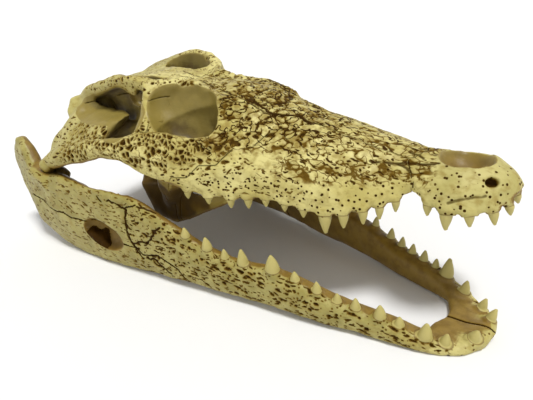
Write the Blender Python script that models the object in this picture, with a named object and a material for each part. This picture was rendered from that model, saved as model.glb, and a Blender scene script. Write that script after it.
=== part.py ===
"""Crocodile skull, life size: upper skull laid with open jaws on the lower jaw.

Each half is modelled whole in its own frame, in millimetres, and parted into bones by thin cuts.
Frame of a half: X runs forward from the jaw joint, Y to the animal's left, Z up.
World frame: metres, the lower jaw rests on the plane Z = 0.
"""
import math

import bmesh
import bpy
import numpy as np
from mathutils import Matrix, Vector

MM = 0.001

# ---- driving dimensions ------------------------------------------------------------------
GAPE = math.radians(7.7)           # nose of the upper skull above the lower jaw's own level
SKULL_YAW = math.radians(3.5)      # the upper skull was laid on a little askew
SKULL_ROLL = math.radians(-0.5)
SKULL_SHIFT = 3.0
JAW_PITCH = math.radians(7.45)     # the deep rear corners lift the back of the lower jaw
FLOOR_LEVEL = -85.8                # floor below the jaw joint; the three feet are ground to it
SUTURE_GAP = 0.5
JOINT_GAP = 0.8
SLIVER_VOLUME = 1000.0             # crumbs below this many cubic millimetres fall away
CRUMB = 0.03                       # edges shorter than this are closed up after a cut
REACH = 140.0                      # half length of a wall that runs across the whole skull
CENTRE_SHIFT = (-173.2, -1.0)      # brings the origin under the middle of the skull
FUSE_VOXEL = 2.2
UPPER_TRIANGLES = 1900
LOWER_TRIANGLES = 850
TOOTH_SIDES = 6
JAW_SIDES = 20
TIP_START, TIP_REACH = 395.0, 40.0   # the teeth lean forward over this length of snout
TOOTH_OFFSET = 2.5                 # lower teeth stand outside the middle of the jaw's top
BONE_COLOUR = (0.72, 0.62, 0.40)
BONE_ROUGHNESS = 0.55

# Snout and face: x, half width, height of the ridge, height of the tooth edge
FACE_STATIONS = (
    (435.0, 5.0, 20.0, 11.0),
    (431.5, 12.0, 26.0, 8.5),
    (425.0, 20.5, 31.0, 7.0),
    (416.0, 28.5, 35.5, 6.0),
    (406.0, 34.0, 38.5, 5.5),
    (395.0, 35.5, 38.0, 6.0),
    (383.0, 32.5, 37.0, 8.5),
    (371.0, 27.0, 37.5, 12.0),
    (360.0, 31.5, 39.5, 5.5),
    (342.0, 44.5, 43.5, 0.0),
    (318.0, 56.0, 49.0, -4.0),
    (292.0, 58.0, 55.5, -2.0),
    (263.0, 60.5, 63.5, 0.0),
    (234.0, 68.0, 73.0, -3.0),
    (205.0, 77.0, 79.5, -1.0),
    (178.0, 83.0, 81.0, 7.0),
    (155.0, 88.0, 82.0, 14.0),
    (132.0, 88.0, 82.0, 22.0),
)
# Half of the face's outline: share of the half width, share of the height above the tooth edge
FACE_SECTION = (
    (0.00, 1.00), (0.20, 0.98), (0.38, 0.92), (0.56, 0.82), (0.71, 0.69), (0.84, 0.53),
    (0.93, 0.36), (0.98, 0.19), (1.00, 0.06),
)
PALATE_RISE = 8.0
GUM_WIDTH = 0.22

# Roof behind the eyes: x, half width, height in the middle, height of the rim
TABLE_STATIONS = (
    (-3.0, 45.0, 64.0, 68.0),
    (12.0, 49.0, 71.0, 77.0),
    (38.0, 53.0, 80.0, 88.0),
    (65.0, 54.5, 86.0, 94.5),
    (95.0, 55.0, 88.5, 101.0),
    (122.0, 53.5, 87.0, 99.5),
    (140.0, 48.0, 84.5, 92.0),
    (152.0, 38.0, 82.0, 83.0),
)
TABLE_THICKNESS = 19.0
RIM_DROP = 5.0                     # the right rim of the roof is lower than the left one

# Cheek bar: x, distance from the midline, height, half height, half thickness
CHEEK_PATH = (
    (246.0, 55.0, 24.0, 12.0, 6.0),
    (216.0, 66.0, 27.5, 22.0, 7.5),
    (188.0, 76.5, 31.5, 24.0, 8.0),
    (160.0, 83.0, 34.5, 20.5, 7.0),
    (138.0, 87.0, 36.0, 14.5, 7.0),
    (115.0, 90.5, 36.5, 11.0, 7.0),
    (90.0, 94.0, 33.0, 10.5, 7.5),
    (62.0, 96.5, 26.5, 11.0, 8.5),
    (35.0, 98.5, 19.0, 10.0, 9.5),
    (12.0, 98.5, 12.5, 9.0, 10.0),
)

# Lower jaw, one side: x, distance from the midline, half thickness, top, bottom
JAW_STATIONS = (
    (436.0, -4.0, 6.0, -18.0, -30.0),
    (434.0, 8.0, 7.5, -20.0, -31.0),
    (427.0, 18.0, 9.0, -23.5, -32.5),
    (415.0, 27.0, 10.0, -25.0, -33.5),
    (400.0, 32.5, 10.0, -22.5, -35.0),
    (384.0, 36.5, 9.5, -18.5, -37.5),
    (364.0, 41.0, 9.5, -18.0, -39.5),
    (342.0, 46.5, 9.5, -16.5, -41.5),
    (315.0, 52.5, 9.5, -11.0, -44.0),
    (291.0, 57.0, 9.5, -9.0, -46.0),
    (262.0, 62.5, 9.0, -14.0, -50.5),
    (230.0, 70.0, 8.5, -10.5, -54.0),
    (200.0, 76.5, 8.0, -2.0, -58.0),
    (170.0, 82.0, 8.0, 8.5, -63.5),
    (140.0, 87.0, 8.5, 17.0, -69.0),
    (105.0, 92.5, 9.0, 13.5, -75.5),
    (70.0, 96.5, 9.5, 9.0, -80.0),
    (38.0, 98.0, 11.0, 8.0, -82.0),
    (8.0, 98.0, 12.0, 1.0, -81.0),
    (-20.0, 97.0, 12.0, 2.5, -77.0),
    (-42.0, 94.0, 10.5, 22.0, -70.0),
    (-59.0, 92.0, 9.0, 24.5, -61.0),
    (-72.0, 91.0, 7.5, 17.0, -51.5),
    (-81.0, 90.5, 5.5, 3.0, -41.0),
    (-85.5, 90.0, 3.0, -11.0, -29.0),
)

# Cuts between the bones. Cheek, brow and quadrate cuts: x, y. All others: x, z.
FACE_CUT = (
    (150, -60), (160, -4), (168, 6), (180, 9), (188, 18), (202, 18), (212, 28), (226, 28),
    (236, 39), (250, 40), (260, 50), (280, 54), (288, 60), (272, 64), (252, 68), (240, 78),
    (232, 120),
)
CHEEK_LEVELS = (-60.0, 66.0)       # the cheek cut stops below the roof
MIDDLE_CUT = ((120, 0), (280, 0), (420, 0))
CHIN_CUT = ((380, 0), (450, 0))
WALL_LEVELS = (-60.0, 120.0)
NOTCH_AT, NOTCH_BULGE, NOTCH_Y, NOTCH_SPREAD = 372.0, 9.0, 15.0, 6.0
ZIGZAG_STEP, ZIGZAG_SWING = 12.0, 1.5
CHEEK_CUT = (
    (290, 54), (262, 58), (225, 65), (200, 68.5), (170, 71), (140, 76), (110, 83), (80, 88),
    (58, 90.5), (38, 93), (24, 99), (16, 108), (12, 130),
)
ROOF_CUT = ((-40, 56), (10, 60), (50, 68), (95, 75), (170, 72))
BROW_CUT = ((150, -96), (146, -40), (152, 0), (146, 40), (150, 96))
QUADRATE_CUT = ((-40, 36), (60, 35), (175, 37))
BASE_CUT = ((46, -70), (46, 6.5), (200, 7.5))
BAR_CUT = ((119, -20), (121, 100))
NASAL_GUTTER = (
    (220, 9, 17), (250, 11, 16), (280, 13, 14), (310, 14.5, 13), (340, 15, 12), (362, 14, 11),
    (380, 12, 11), (400, 8, 11),
)
DENTARY_CUT = (
    (192, 34), (186, 8), (158, 12), (142, 5), (141, -14), (147, -31), (159, -41), (178, -35),
    (201, -41), (212, -54), (214, -100),
)
ANGULAR_CUT = (
    (176, -37), (142, -37), (107, -35), (70, -31), (30, -35), (-10, -32), (-45, -30), (-90, -24),
)

# Teeth of one side: x of the socket, tooth length, radius at the gum
UPPER_TEETH = (
    (431.0, 8.0, 3.0), (423.5, 11.0, 3.3), (411.0, 9.5, 3.3), (396.5, 14.0, 4.2),
    (383.5, 9.5, 3.2),
    (360.5, 10.0, 3.0), (351.0, 11.5, 3.2), (341.5, 12.0, 3.5), (329.0, 12.5, 3.8),
    (315.5, 17.0, 4.8), (298.5, 8.0, 3.2), (282.0, 7.5, 3.0), (264.5, 7.5, 3.2),
    (248.5, 9.5, 3.6), (233.0, 9.0, 3.5), (213.5, 7.5, 3.2), (194.0, 8.0, 3.2),
)
LOWER_TEETH_RIGHT = (
    (432.0, 10.0, 4.0), (418.0, 11.0, 3.6), (406.0, 15.5, 4.8), (389.0, 9.0, 3.4),
    (375.5, 12.0, 4.2), (358.0, 11.0, 3.4), (344.5, 9.0, 3.0), (328.5, 10.5, 3.4),
    (310.5, 9.5, 3.4), (291.0, 16.0, 5.6), (264.0, 16.5, 4.5), (247.0, 10.0, 3.2),
    (230.0, 13.5, 4.4), (208.5, 10.5, 3.6),
)
LOWER_TEETH_LEFT = (
    (434.0, 11.0, 3.4), (424.5, 10.5, 3.4), (408.0, 11.5, 3.8), (391.5, 17.0, 5.0),
    (381.0, 9.0, 3.0), (370.0, 10.5, 3.4), (358.5, 10.0, 3.2), (347.5, 10.0, 3.2),
    (335.5, 10.5, 3.4), (318.0, 9.5, 3.2), (291.0, 15.0, 5.0), (266.0, 12.0, 4.0),
    (246.0, 10.0, 3.4), (228.0, 11.0, 3.6), (208.5, 9.5, 3.4),
)


# Crown outline: share of the length from the gum, share of the radius
TOOTH_PROFILE = ((-0.30, 0.95), (0.30, 0.94), (0.98, 0.16))


# ---- meshes ------------------------------------------------------------------------------
def clear_scene():
    for item in list(bpy.data.objects):
        bpy.data.objects.remove(item, do_unlink=True)


def new_object(name, mesh):
    item = bpy.data.objects.new(name, mesh)
    bpy.context.scene.collection.objects.link(item)
    return item


def object_from_bmesh(name, form):
    bmesh.ops.recalc_face_normals(form, faces=form.faces[:])
    mesh = bpy.data.meshes.new(name)
    form.to_mesh(mesh)
    form.free()
    return new_object(name, mesh)


def millimetres(x, y, z):
    return Vector((x, y, z)) * MM


def loft(name, rings):
    """Skin closed rings of equal length, front to back, and cap both ends."""
    form = bmesh.new()
    loops = []
    for ring in rings:
        loops.append([form.verts.new(millimetres(*point)) for point in ring])
    count = len(loops[0])
    for near, far in zip(loops, loops[1:]):
        for i in range(count):
            j = (i + 1) % count
            form.faces.new((near[i], near[j], far[j], far[i]))
    form.faces.new(loops[0])
    form.faces.new(loops[-1])
    return object_from_bmesh(name, form)


def hull(name, balls):
    """Convex skin over balls, each given as x, y, z, radius."""
    form = bmesh.new()
    for x, y, z, radius in balls:
        place = Matrix.Translation(millimetres(x, y, z))
        bmesh.ops.create_icosphere(form, subdivisions=2, radius=radius * MM, matrix=place)
    result = bmesh.ops.convex_hull(form, input=form.verts[:])
    spare = [part for part in result["geom_interior"] if isinstance(part, bmesh.types.BMVert)]
    bmesh.ops.delete(form, geom=spare, context="VERTS")
    loose = [vert for vert in form.verts if not vert.link_faces]
    bmesh.ops.delete(form, geom=loose, context="VERTS")
    return object_from_bmesh(name, form)


def ball(name, centre, radii, turn=(0.0, 0.0, 0.0), detail=4):
    """Ellipsoid at centre with three radii, turned by degrees about X, then Y, then Z."""
    form = bmesh.new()
    place = Matrix.Translation(millimetres(*centre))
    for axis, angle in zip("ZYX", reversed(turn)):
        place = place @ Matrix.Rotation(math.radians(angle), 4, axis)
    size = Matrix.Diagonal((radii[0] * MM, radii[1] * MM, radii[2] * MM, 1.0))
    bmesh.ops.create_icosphere(form, subdivisions=detail, radius=1.0, matrix=place @ size)
    return object_from_bmesh(name, form)


def smooth_stations(stations, step):
    """Points every step along x, read from a smooth curve through the stations."""
    rows = np.array(stations, dtype=float)
    lengths = np.linalg.norm(np.diff(rows[:, :2], axis=0), axis=1)
    at = np.concatenate(([0.0], np.cumsum(lengths)))
    count = max(2, int(round(at[-1] / step)) + 1)
    where = np.linspace(0.0, at[-1], count)
    slopes = np.gradient(rows, at, axis=0)
    result = []
    for value in where:
        k = min(int(np.searchsorted(at, value, side="right")) - 1, len(at) - 2)
        span = at[k + 1] - at[k]
        t = (value - at[k]) / span
        start = (2 * t**3 - 3 * t**2 + 1) * rows[k] + (t**3 - 2 * t**2 + t) * span * slopes[k]
        end = (-2 * t**3 + 3 * t**2) * rows[k + 1] + (t**3 - t**2) * span * slopes[k + 1]
        result.append(start + end)
    return result


def tube(name, path, step=8.0, sides=16, lean=0.0):
    """Bar with upright oval sections: x, y, z, half height, half thickness per point."""
    rows = smooth_stations(path, step)
    rings = []
    for index, row in enumerate(rows):
        before = rows[max(index - 1, 0)]
        after = rows[min(index + 1, len(rows) - 1)]
        forward = Vector((after[:3] - before[:3]).tolist()).normalized()
        side = forward.cross(Vector((0.0, 0.0, 1.0))).normalized()
        upright = side.cross(forward)
        side, upright = (
            side * math.cos(lean) + upright * math.sin(lean),
            upright * math.cos(lean) - side * math.sin(lean),
        )
        centre = Vector(row[:3].tolist())
        ring = []
        for k in range(sides):
            angle = 2.0 * math.pi * k / sides
            ring.append(centre + side * (row[4] * math.cos(angle))
                        + upright * (row[3] * math.sin(angle)))
        rings.append(ring)
    return loft(name, rings)


def mirrored(item):
    """A copy of an object on the other side of the midline."""
    form = bmesh.new()
    form.from_mesh(item.data)
    bmesh.ops.scale(form, vec=(1.0, -1.0, 1.0), verts=form.verts[:])
    return object_from_bmesh(item.name + "_other", form)


def both_sides(items):
    return list(items) + [mirrored(item) for item in items]


def joined(name, items):
    """One object holding the meshes of all items, which are removed."""
    form = bmesh.new()
    for item in items:
        form.from_mesh(item.data)
        bpy.data.objects.remove(item, do_unlink=True)
    mesh = bpy.data.meshes.new(name)
    form.to_mesh(mesh)
    form.free()
    return new_object(name, mesh)


def bake_modifiers(item):
    """Replace the object's mesh by its evaluated one and drop the modifiers."""
    graph = bpy.context.evaluated_depsgraph_get()
    mesh = bpy.data.meshes.new_from_object(item.evaluated_get(graph))
    item.modifiers.clear()
    item.data = mesh


def fused(name, items, voxel):
    item = joined(name, items)
    grain = item.modifiers.new("fuse", "REMESH")
    grain.mode = "VOXEL"
    grain.voxel_size = voxel * MM
    bake_modifiers(item)
    return item


def relaxed(item, rounds):
    soften = item.modifiers.new("soften", "SMOOTH")
    soften.factor = 0.5
    soften.iterations = rounds
    bake_modifiers(item)


def thinned(item, triangles):
    item.data.calc_loop_triangles()
    ratio = triangles / len(item.data.loop_triangles)
    plain = item.modifiers.new("plain", "DECIMATE")
    plain.ratio = min(1.0, ratio)
    plain.use_collapse_triangulate = True
    bake_modifiers(item)


def combine(item, tools, operation, overlap=False):
    """Boolean of one object with several, which are removed."""
    tool = joined("tool", tools)
    join = item.modifiers.new(operation.lower(), "BOOLEAN")
    join.operation = operation
    join.solver = "EXACT"
    join.use_self = overlap
    join.object = tool
    bake_modifiers(item)
    bpy.data.objects.remove(tool, do_unlink=True)


# ---- upper skull -------------------------------------------------------------------------
def face_ring(row):
    """Closed outline of the face at one station, with the palate hollowed between the gums."""
    x, half, ridge, edge = row
    tall = ridge - edge
    right = [(x, -a * half, edge + b * tall) for a, b in FACE_SECTION]
    rise = min(PALATE_RISE, 0.4 * tall)
    inner = half * (1.0 - GUM_WIDTH)
    right += [(x, -0.97 * half, edge), (x, -inner, edge + 0.1 * rise)]
    right += [(x, -0.82 * inner, edge + 0.75 * rise), (x, -0.4 * inner, edge + rise)]
    left = [(x, -y, z) for _, y, z in reversed(right)]
    return right + left[:-1]


def table_ring(row):
    """Outline of the roof at one station; the right rim stands a little lower than the left."""
    x, half, middle, rim = row
    sides = []
    for sign, top in ((-1.0, rim - RIM_DROP), (1.0, rim)):
        under = rim - TABLE_THICKNESS
        sides.append([
            (x, sign * 0.3 * half, middle), (x, sign * 0.62 * half, 0.55 * middle + 0.45 * top),
            (x, sign * 0.84 * half, top), (x, sign * 0.95 * half, top - 1.0),
            (x, sign * half, top - 5.0), (x, sign * (half - 1.0), top - 12.0),
            (x, sign * (half - 4.0), under), (x, sign * 0.5 * half, under - 3.0),
        ])
    right, left = sides
    return [(x, 0.0, middle)] + right + left[::-1]


def upper_masses():
    """Everything that bone fills, before the openings are made."""
    face = loft("face", [face_ring(row) for row in smooth_stations(FACE_STATIONS, 6.0)])
    table = loft("table", [table_ring(row) for row in smooth_stations(TABLE_STATIONS, 8.0)])
    cheek = [(x, -y, z, tall, thick) for x, y, z, tall, thick in CHEEK_PATH]
    side = [
        tube("cheek", cheek, lean=math.radians(-14.0)),
        hull("quadrate", ((92, -84, 40, 6), (104, -56, 62, 6), (22, -50, 58, 8), (10, -82, 24, 11),
                          (40, -92, 27, 8), (60, -42, 44, 8), (22, -66, 46, 9))),
        hull("quadrate_crest", ((104, -56, 62, 5), (112, -50, 74, 6), (98, -46, 74, 5))),
        hull("quadrate_wing", ((34, -72, 28, 6), (100, -34, 44, 6), (64, -26, 2, 7),
                               (104, -24, 6, 7))),
        ball("condyle_outer", (0, -99, 6), (9, 8.5, 9.5)),
        ball("condyle_inner", (1, -84, 6), (9, 9, 8)),
        hull("condyle_neck", ((2, -97, 9, 7.5), (3, -84, 9, 7), (26, -86, 24, 10))),
        hull("postorbital_top", ((132, -46, 84, 8), (135, -55, 70, 6))),
        hull("postorbital_bar", ((135, -55, 70, 6), (139, -63, 57, 5))),
        hull("postorbital_foot", ((139, -63, 57, 5), (144, -76, 44, 7))),
        hull("brow", ((212, -32, 71, 5), (186, -27, 77, 5), (160, -20, 82, 5))),
        hull("brow_front", ((238, -32, 62, 5), (212, -32, 71, 5), (216, -18, 70, 5))),
        hull("brow_rear", ((160, -20, 82, 5), (140, -36, 84, 6))),
        hull("paroccipital", ((30, -22, 64, 9), (6, -50, 64, 7), (6, -58, 53, 6), (30, -26, 46, 9))),
        hull("pterygoid", ((152, -14, 4, 7), (80, -14, 0, 8), (100, -50, -18, 5.5),
                           (114, -51, -45, 5.5), (141, -51, -49, 5.5), (152, -40, -14, 6))),
        hull("wing", ((141, -51, -49, 5.5), (184, -49, -28, 5.5), (224, -46, -7, 5),
                      (152, -46, -10, 6), (200, -46, 2, 6))),
        hull("ectopterygoid", ((176, -70, 14, 8), (150, -66, 14, 8), (136, -53, -30, 6))),
    ]
    middle = [
        hull("braincase", ((46, -24, 74, 10), (46, 24, 74, 10), (128, -30, 76, 9), (128, 30, 76, 9),
                           (60, -14, 6, 9), (60, 14, 6, 9), (150, -16, 10, 9), (150, 16, 10, 9))),
        ball("occipital_condyle", (32, 0, 38), (11, 9, 8)),
    ]
    return [face, table] + middle + both_sides(side)


def upper_openings():
    """Bodies taken out of the upper skull."""
    side = [
        ball("orbit", (175.5, -53, 73), (35.5, 29, 31), (-30, 0, -6)),
        ball("orbit_depth", (181, -50, 56), (32, 25, 30)),
        hull("cheek_window", ((108, -96, 50, 3), (130, -92, 52, 3), (126, -66, 74, 2.5),
                              (104, -50, 42, 4), (128, -42, 42, 4), (124, -40, 56, 4))),
        hull("roof_window", ((84, -30, 104, 10), (129, -32, 104, 11), (88, -27, 62, 6),
                             (122, -27, 62, 6))),
        hull("ear_recess", ((34, -60, 63, 8), (60, -50, 66, 9), (104, -52, 68, 9.5),
                            (114, -66, 68, 9.5), (34, -80, 60, 9), (110, -86, 66, 10))),
        ball("nose_pit", (419, -17, 26), (4.8, 4.6, 6.0)),
        ball("palate_window", (170, -38, -2), (38, 16, 22), (0, 0, -8)),
        ball("occipital_pit", (22, -20, 74), (12, 12, 8)),
    ]
    middle = [
        ball("nostril", (399, 0, 42), (19, 17, 20)),
        ball("neck_hole", (26, 0, 54), (16, 7.5, 6.5)),
        ball("roof_notch", (0, 0, 82), (32, 34, 17)),
        ball("throat_hollow", (92, 0, -8), (26, 11, 10)),
    ]
    return middle + both_sides(side)


def tooth(name, foot, length, radius, lean):
    """Conical crown on a buried root; lean is the sideways and forward lean of the tip."""
    way = Vector(lean).normalized()
    side = way.cross(Vector((1.0, 0.0, 0.0))).normalized()
    other = way.cross(side)
    rings = []
    for share, size in TOOTH_PROFILE:
        centre = Vector(foot) + way * (share * length)
        ring = []
        for k in range(TOOTH_SIDES):
            angle = 2.0 * math.pi * k / TOOTH_SIDES
            spread = side * math.cos(angle) + other * math.sin(angle)
            ring.append(centre + spread * (radius * size))
        rings.append(ring)
    return loft(name, rings)


def station_at(stations, x, columns):
    """Values of a smooth curve through the stations, read at one x."""
    rows = sorted(smooth_stations(stations, 4.0), key=lambda row: row[0])
    table = np.array(rows)
    return [float(np.interp(x, table[:, 0], table[:, column])) for column in columns]


def tip_share(x):
    """Zero behind the tip of the snout, growing to one at its end."""
    return max(0.0, (x - TIP_START) / TIP_REACH)


def upper_teeth():
    teeth = []
    for number, (x, length, radius) in enumerate(UPPER_TEETH):
        half, edge = station_at(FACE_STATIONS, x, (1, 3))
        ahead = tip_share(x)
        foot = (x - 2.5 * ahead, -half + 1.2 * radius, edge + 1.0)
        lean = (0.10 + 0.25 * ahead, -0.10, -1.0)
        teeth.append(tooth(f"upper_tooth_{number}", foot, length, radius, lean))
    return both_sides(teeth)


# ---- lower jaw ---------------------------------------------------------------------------
def jaw_ring(row, before, after):
    """Rounded oblong section, square to the way the jaw runs."""
    x, y, thick, top, bottom = row
    along = Vector((after[0] - before[0], after[1] - before[1], 0.0)).normalized()
    side = Vector((along.y, -along.x, 0.0))
    middle = 0.5 * (top + bottom)
    tall = 0.5 * (top - bottom)
    ring = []
    for k in range(JAW_SIDES):
        angle = 2.0 * math.pi * k / JAW_SIDES
        c, s = math.cos(angle), math.sin(angle)
        across = math.copysign(abs(c) ** 0.65, c) * thick
        rise = math.copysign(abs(s) ** 0.72, s) * tall
        ring.append((x + side.x * across, -(y + side.y * across), middle + rise))
    return ring


def jaw_side():
    rows = smooth_stations(JAW_STATIONS, 7.0)
    rings = []
    for index, row in enumerate(rows):
        before = rows[max(index - 1, 0)]
        after = rows[min(index + 1, len(rows) - 1)]
        rings.append(jaw_ring(row, before, after))
    return loft("jaw_side", rings)


def lower_masses():
    side = [
        jaw_side(),
        hull("articular", ((15, -106, -6, 6), (15, -82, -6, 6), (-15, -106, -3, 6),
                           (-15, -82, -3, 6), (0, -95, -32, 10))),
    ]
    plate = hull("chin_plate", ((405, -16, -30, 4.5), (405, 16, -30, 4.5), (428, -8, -27, 5.5),
                                (428, 8, -27, 5.5)))
    return both_sides(side) + [plate]


def lower_openings():
    side = [
        ball("jaw_window", (108, -103, -35), (29, 15, 13), (0, 6, 4)),
        ball("muscle_slot", (108, -89, 8), (40, 3.6, 22), (0, 0, 8)),
    ]
    notch = ball("chin_notch", (395, 1, -28), (12, 18, 18))
    return both_sides(side) + [notch]


def lower_teeth():
    teeth = []
    for side, row in ((-1.0, LOWER_TEETH_RIGHT), (1.0, LOWER_TEETH_LEFT)):
        for number, (x, length, radius) in enumerate(row):
            y, top = station_at(JAW_STATIONS, x, (1, 3))
            ahead = tip_share(x)
            foot = (x, side * (y + TOOTH_OFFSET), top - 1.0)
            lean = (0.02 + 0.25 * ahead, side * 0.12, 1.0)
            teeth.append(tooth(f"lower_tooth_{number}", foot, length, radius, lean))
    return teeth


# ---- sutures -----------------------------------------------------------------------------
def zigzag(points, step, swing):
    """The path with small teeth laid along it, first to one side and then to the other."""
    path = [Vector(point) for point in points]
    result = [path[0]]
    turn = 1.0
    for start, end in zip(path, path[1:]):
        span = end - start
        count = max(1, int(round(span.length / step)))
        across = Vector((-span.y, span.x)).normalized()
        for k in range(1, count):
            result.append(start + span * (k / count) + across * (turn * swing))
            turn = -turn
        result.append(end)
    return result


def sheet(name, grid):
    """Thin closed wall over a grid of points, as thick as the gap of a suture."""
    rows, columns = len(grid), len(grid[0])
    form = bmesh.new()
    sides = []
    for sign in (0.5, -0.5):
        layer = []
        for i in range(rows):
            line = []
            for j in range(columns):
                along = grid[min(i + 1, rows - 1)][j] - grid[max(i - 1, 0)][j]
                across = grid[i][min(j + 1, columns - 1)] - grid[i][max(j - 1, 0)]
                shift = along.cross(across).normalized() * (sign * SUTURE_GAP)
                line.append(form.verts.new((grid[i][j] + shift) * MM))
            layer.append(line)
        sides.append(layer)
    top, bottom = sides
    for i in range(rows - 1):
        for j in range(columns - 1):
            for layer in (top, bottom):
                form.faces.new((layer[i][j], layer[i + 1][j], layer[i + 1][j + 1], layer[i][j + 1]))
    edge = [(i, 0) for i in range(rows)] + [(rows - 1, j) for j in range(1, columns)]
    edge += [(i, columns - 1) for i in range(rows - 2, -1, -1)]
    edge += [(0, j) for j in range(columns - 2, 0, -1)]
    for (a, b), (c, d) in zip(edge, edge[1:] + edge[:1]):
        form.faces.new((top[a][b], top[c][d], bottom[c][d], bottom[a][b]))
    return object_from_bmesh(name, form)


def upright_wall(name, path, low, high):
    """Wall over a path of x and y, from one height to another."""
    return sheet(name, [[Vector((p.x, p.y, low)), Vector((p.x, p.y, high))] for p in path])


def cross_wall(name, path, right=-REACH, left=REACH):
    """Wall over a path of x and z, running across the midline."""
    return sheet(name, [[Vector((p.x, right, p.y)), Vector((p.x, left, p.y))] for p in path])


def gutter_wall(name):
    """Gutter under the nasal bones, following the ridge of the snout."""
    grid = []
    for x, half, depth in NASAL_GUTTER:
        ridge = station_at(FACE_STATIONS, x, (2,))[0]
        low = ridge - depth
        grid.append([
            Vector((x, -half - 4.0, ridge + 12.0)), Vector((x, -half, low + 5.0)),
            Vector((x, -0.6 * half, low)), Vector((x, 0.6 * half, low)),
            Vector((x, half, low + 5.0)), Vector((x, half + 4.0, ridge + 12.0)),
        ])
    return sheet(name, grid)


def face_groups(form):
    """Number of the closed body that each face belongs to; bodies may share a corner or an edge."""
    label = [-1] * len(form.faces)
    count = 0
    for seed in form.faces:
        if label[seed.index] >= 0:
            continue
        label[seed.index] = count
        stack = [seed]
        while stack:
            for edge in stack.pop().edges:
                if len(edge.link_faces) != 2:
                    continue
                for face in edge.link_faces:
                    if label[face.index] < 0:
                        label[face.index] = count
                        stack.append(face)
        count += 1
    return label, count


def islands(item):
    """The separate closed bodies of a mesh as objects, largest first; the mesh is removed."""
    form = bmesh.new()
    form.from_mesh(item.data)
    bmesh.ops.remove_doubles(form, verts=form.verts[:], dist=CRUMB * MM)
    bmesh.ops.dissolve_degenerate(form, edges=form.edges[:], dist=CRUMB * MM)
    form.faces.index_update()
    label, count = face_groups(form)
    bodies = []
    for number in range(count):
        part = form.copy()
        part.faces.ensure_lookup_table()
        away = [face for face in part.faces if label[face.index] != number]
        bmesh.ops.delete(part, geom=away, context="FACES")
        size = abs(part.calc_volume()) / MM**3
        if size > SLIVER_VOLUME:
            mesh = bpy.data.meshes.new("body")
            part.to_mesh(mesh)
            bodies.append((size, new_object("body", mesh)))
        part.free()
    form.free()
    bpy.data.objects.remove(item, do_unlink=True)
    return [body for _, body in sorted(bodies, key=lambda pair: -pair[0])]


def cut(item, *walls):
    """Cut one body along thin walls and give back the bodies that are left."""
    combine(item, list(walls), "DIFFERENCE")
    return islands(item)


def distance_to(body, point):
    """Least distance from a body's corners to a point."""
    target = millimetres(*point)
    return min((vert.co - target).length for vert in body.data.vertices)


def claim(bodies, name, point):
    """Take the body nearest a point out of the list and name it."""
    body = min(bodies, key=lambda item: distance_to(item, point))
    bodies.remove(body)
    body.name = name
    body.data.name = name
    return body


def claim_pair(bodies, name, point):
    """Name the right and the left body of a pair, from a point on the right one."""
    x, y, z = point
    return [claim(bodies, name + "_right", point), claim(bodies, name + "_left", (x, -y, z))]


def part_snout(front):
    """Premaxilla, nasal bones and the two maxillae out of the front of the skull."""
    notch = []
    for y in range(-48, 49, 8):
        bulge = NOTCH_BULGE * math.exp(-((abs(y) - NOTCH_Y) / NOTCH_SPREAD) ** 2)
        notch.append(Vector((NOTCH_AT - bulge, y)))
    bodies = cut(front, upright_wall("premaxilla_cut", notch, *WALL_LEVELS))
    named = [claim(bodies, "premaxilla", (420, -20, 30))]
    bodies = cut(bodies.pop(0), gutter_wall("nasal_cut"))
    named.append(claim(bodies, "nasals", (330, 0, 46)))
    middle = [Vector(point) for point in MIDDLE_CUT]
    bodies = cut(bodies.pop(0), upright_wall("palate_cut", middle, *WALL_LEVELS))
    named += claim_pair(bodies, "maxilla", (300, -50, 10))
    return named


def part_cranium(rear):
    """Cheeks, frontal, roof, bars behind the eyes, quadrates, braincase and pterygoid."""
    walls = []
    for side in (-1.0, 1.0):
        path = [Vector((x, side * y)) for x, y in CHEEK_CUT]
        walls.append(upright_wall("cheek_cut", path, *CHEEK_LEVELS))
    bodies = cut(rear, *walls)
    named = claim_pair(bodies, "jugal", (100, -96, 30))
    brow = zigzag(BROW_CUT, ZIGZAG_STEP, ZIGZAG_SWING)
    bodies = cut(bodies.pop(0), upright_wall("brow_cut", brow, *WALL_LEVELS))
    named.append(claim(bodies, "frontal", (200, 0, 80)))
    roof = [Vector(point) for point in ROOF_CUT]
    bodies = cut(bodies.pop(0), cross_wall("roof_cut", roof))
    named.append(claim(bodies, "skull_table", (60, 50, 92)))
    walls = []
    for side in (-1.0, 1.0):
        path = [Vector((x, side * y)) for x, y in QUADRATE_CUT]
        walls.append(upright_wall("quadrate_cut", path, *WALL_LEVELS))
    bodies = cut(bodies.pop(0), *walls)
    floor = [Vector(point) for point in BASE_CUT]
    bodies = [body for block in bodies for body in cut(block, cross_wall("base_cut", floor))]
    named.append(claim(bodies, "braincase", (32, 0, 40)))
    named.append(claim(bodies, "pterygoid", (120, 0, -4)))
    named += claim_pair(bodies, "ectopterygoid", (118, -56, -38))
    bar = [Vector(point) for point in BAR_CUT]
    bodies = [body for block in bodies for body in cut(block, cross_wall("bar_cut", bar))]
    named += claim_pair(bodies, "quadrate", (10, -90, 30))
    named += claim_pair(bodies, "postorbital", (139, -63, 57))
    return named


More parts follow.
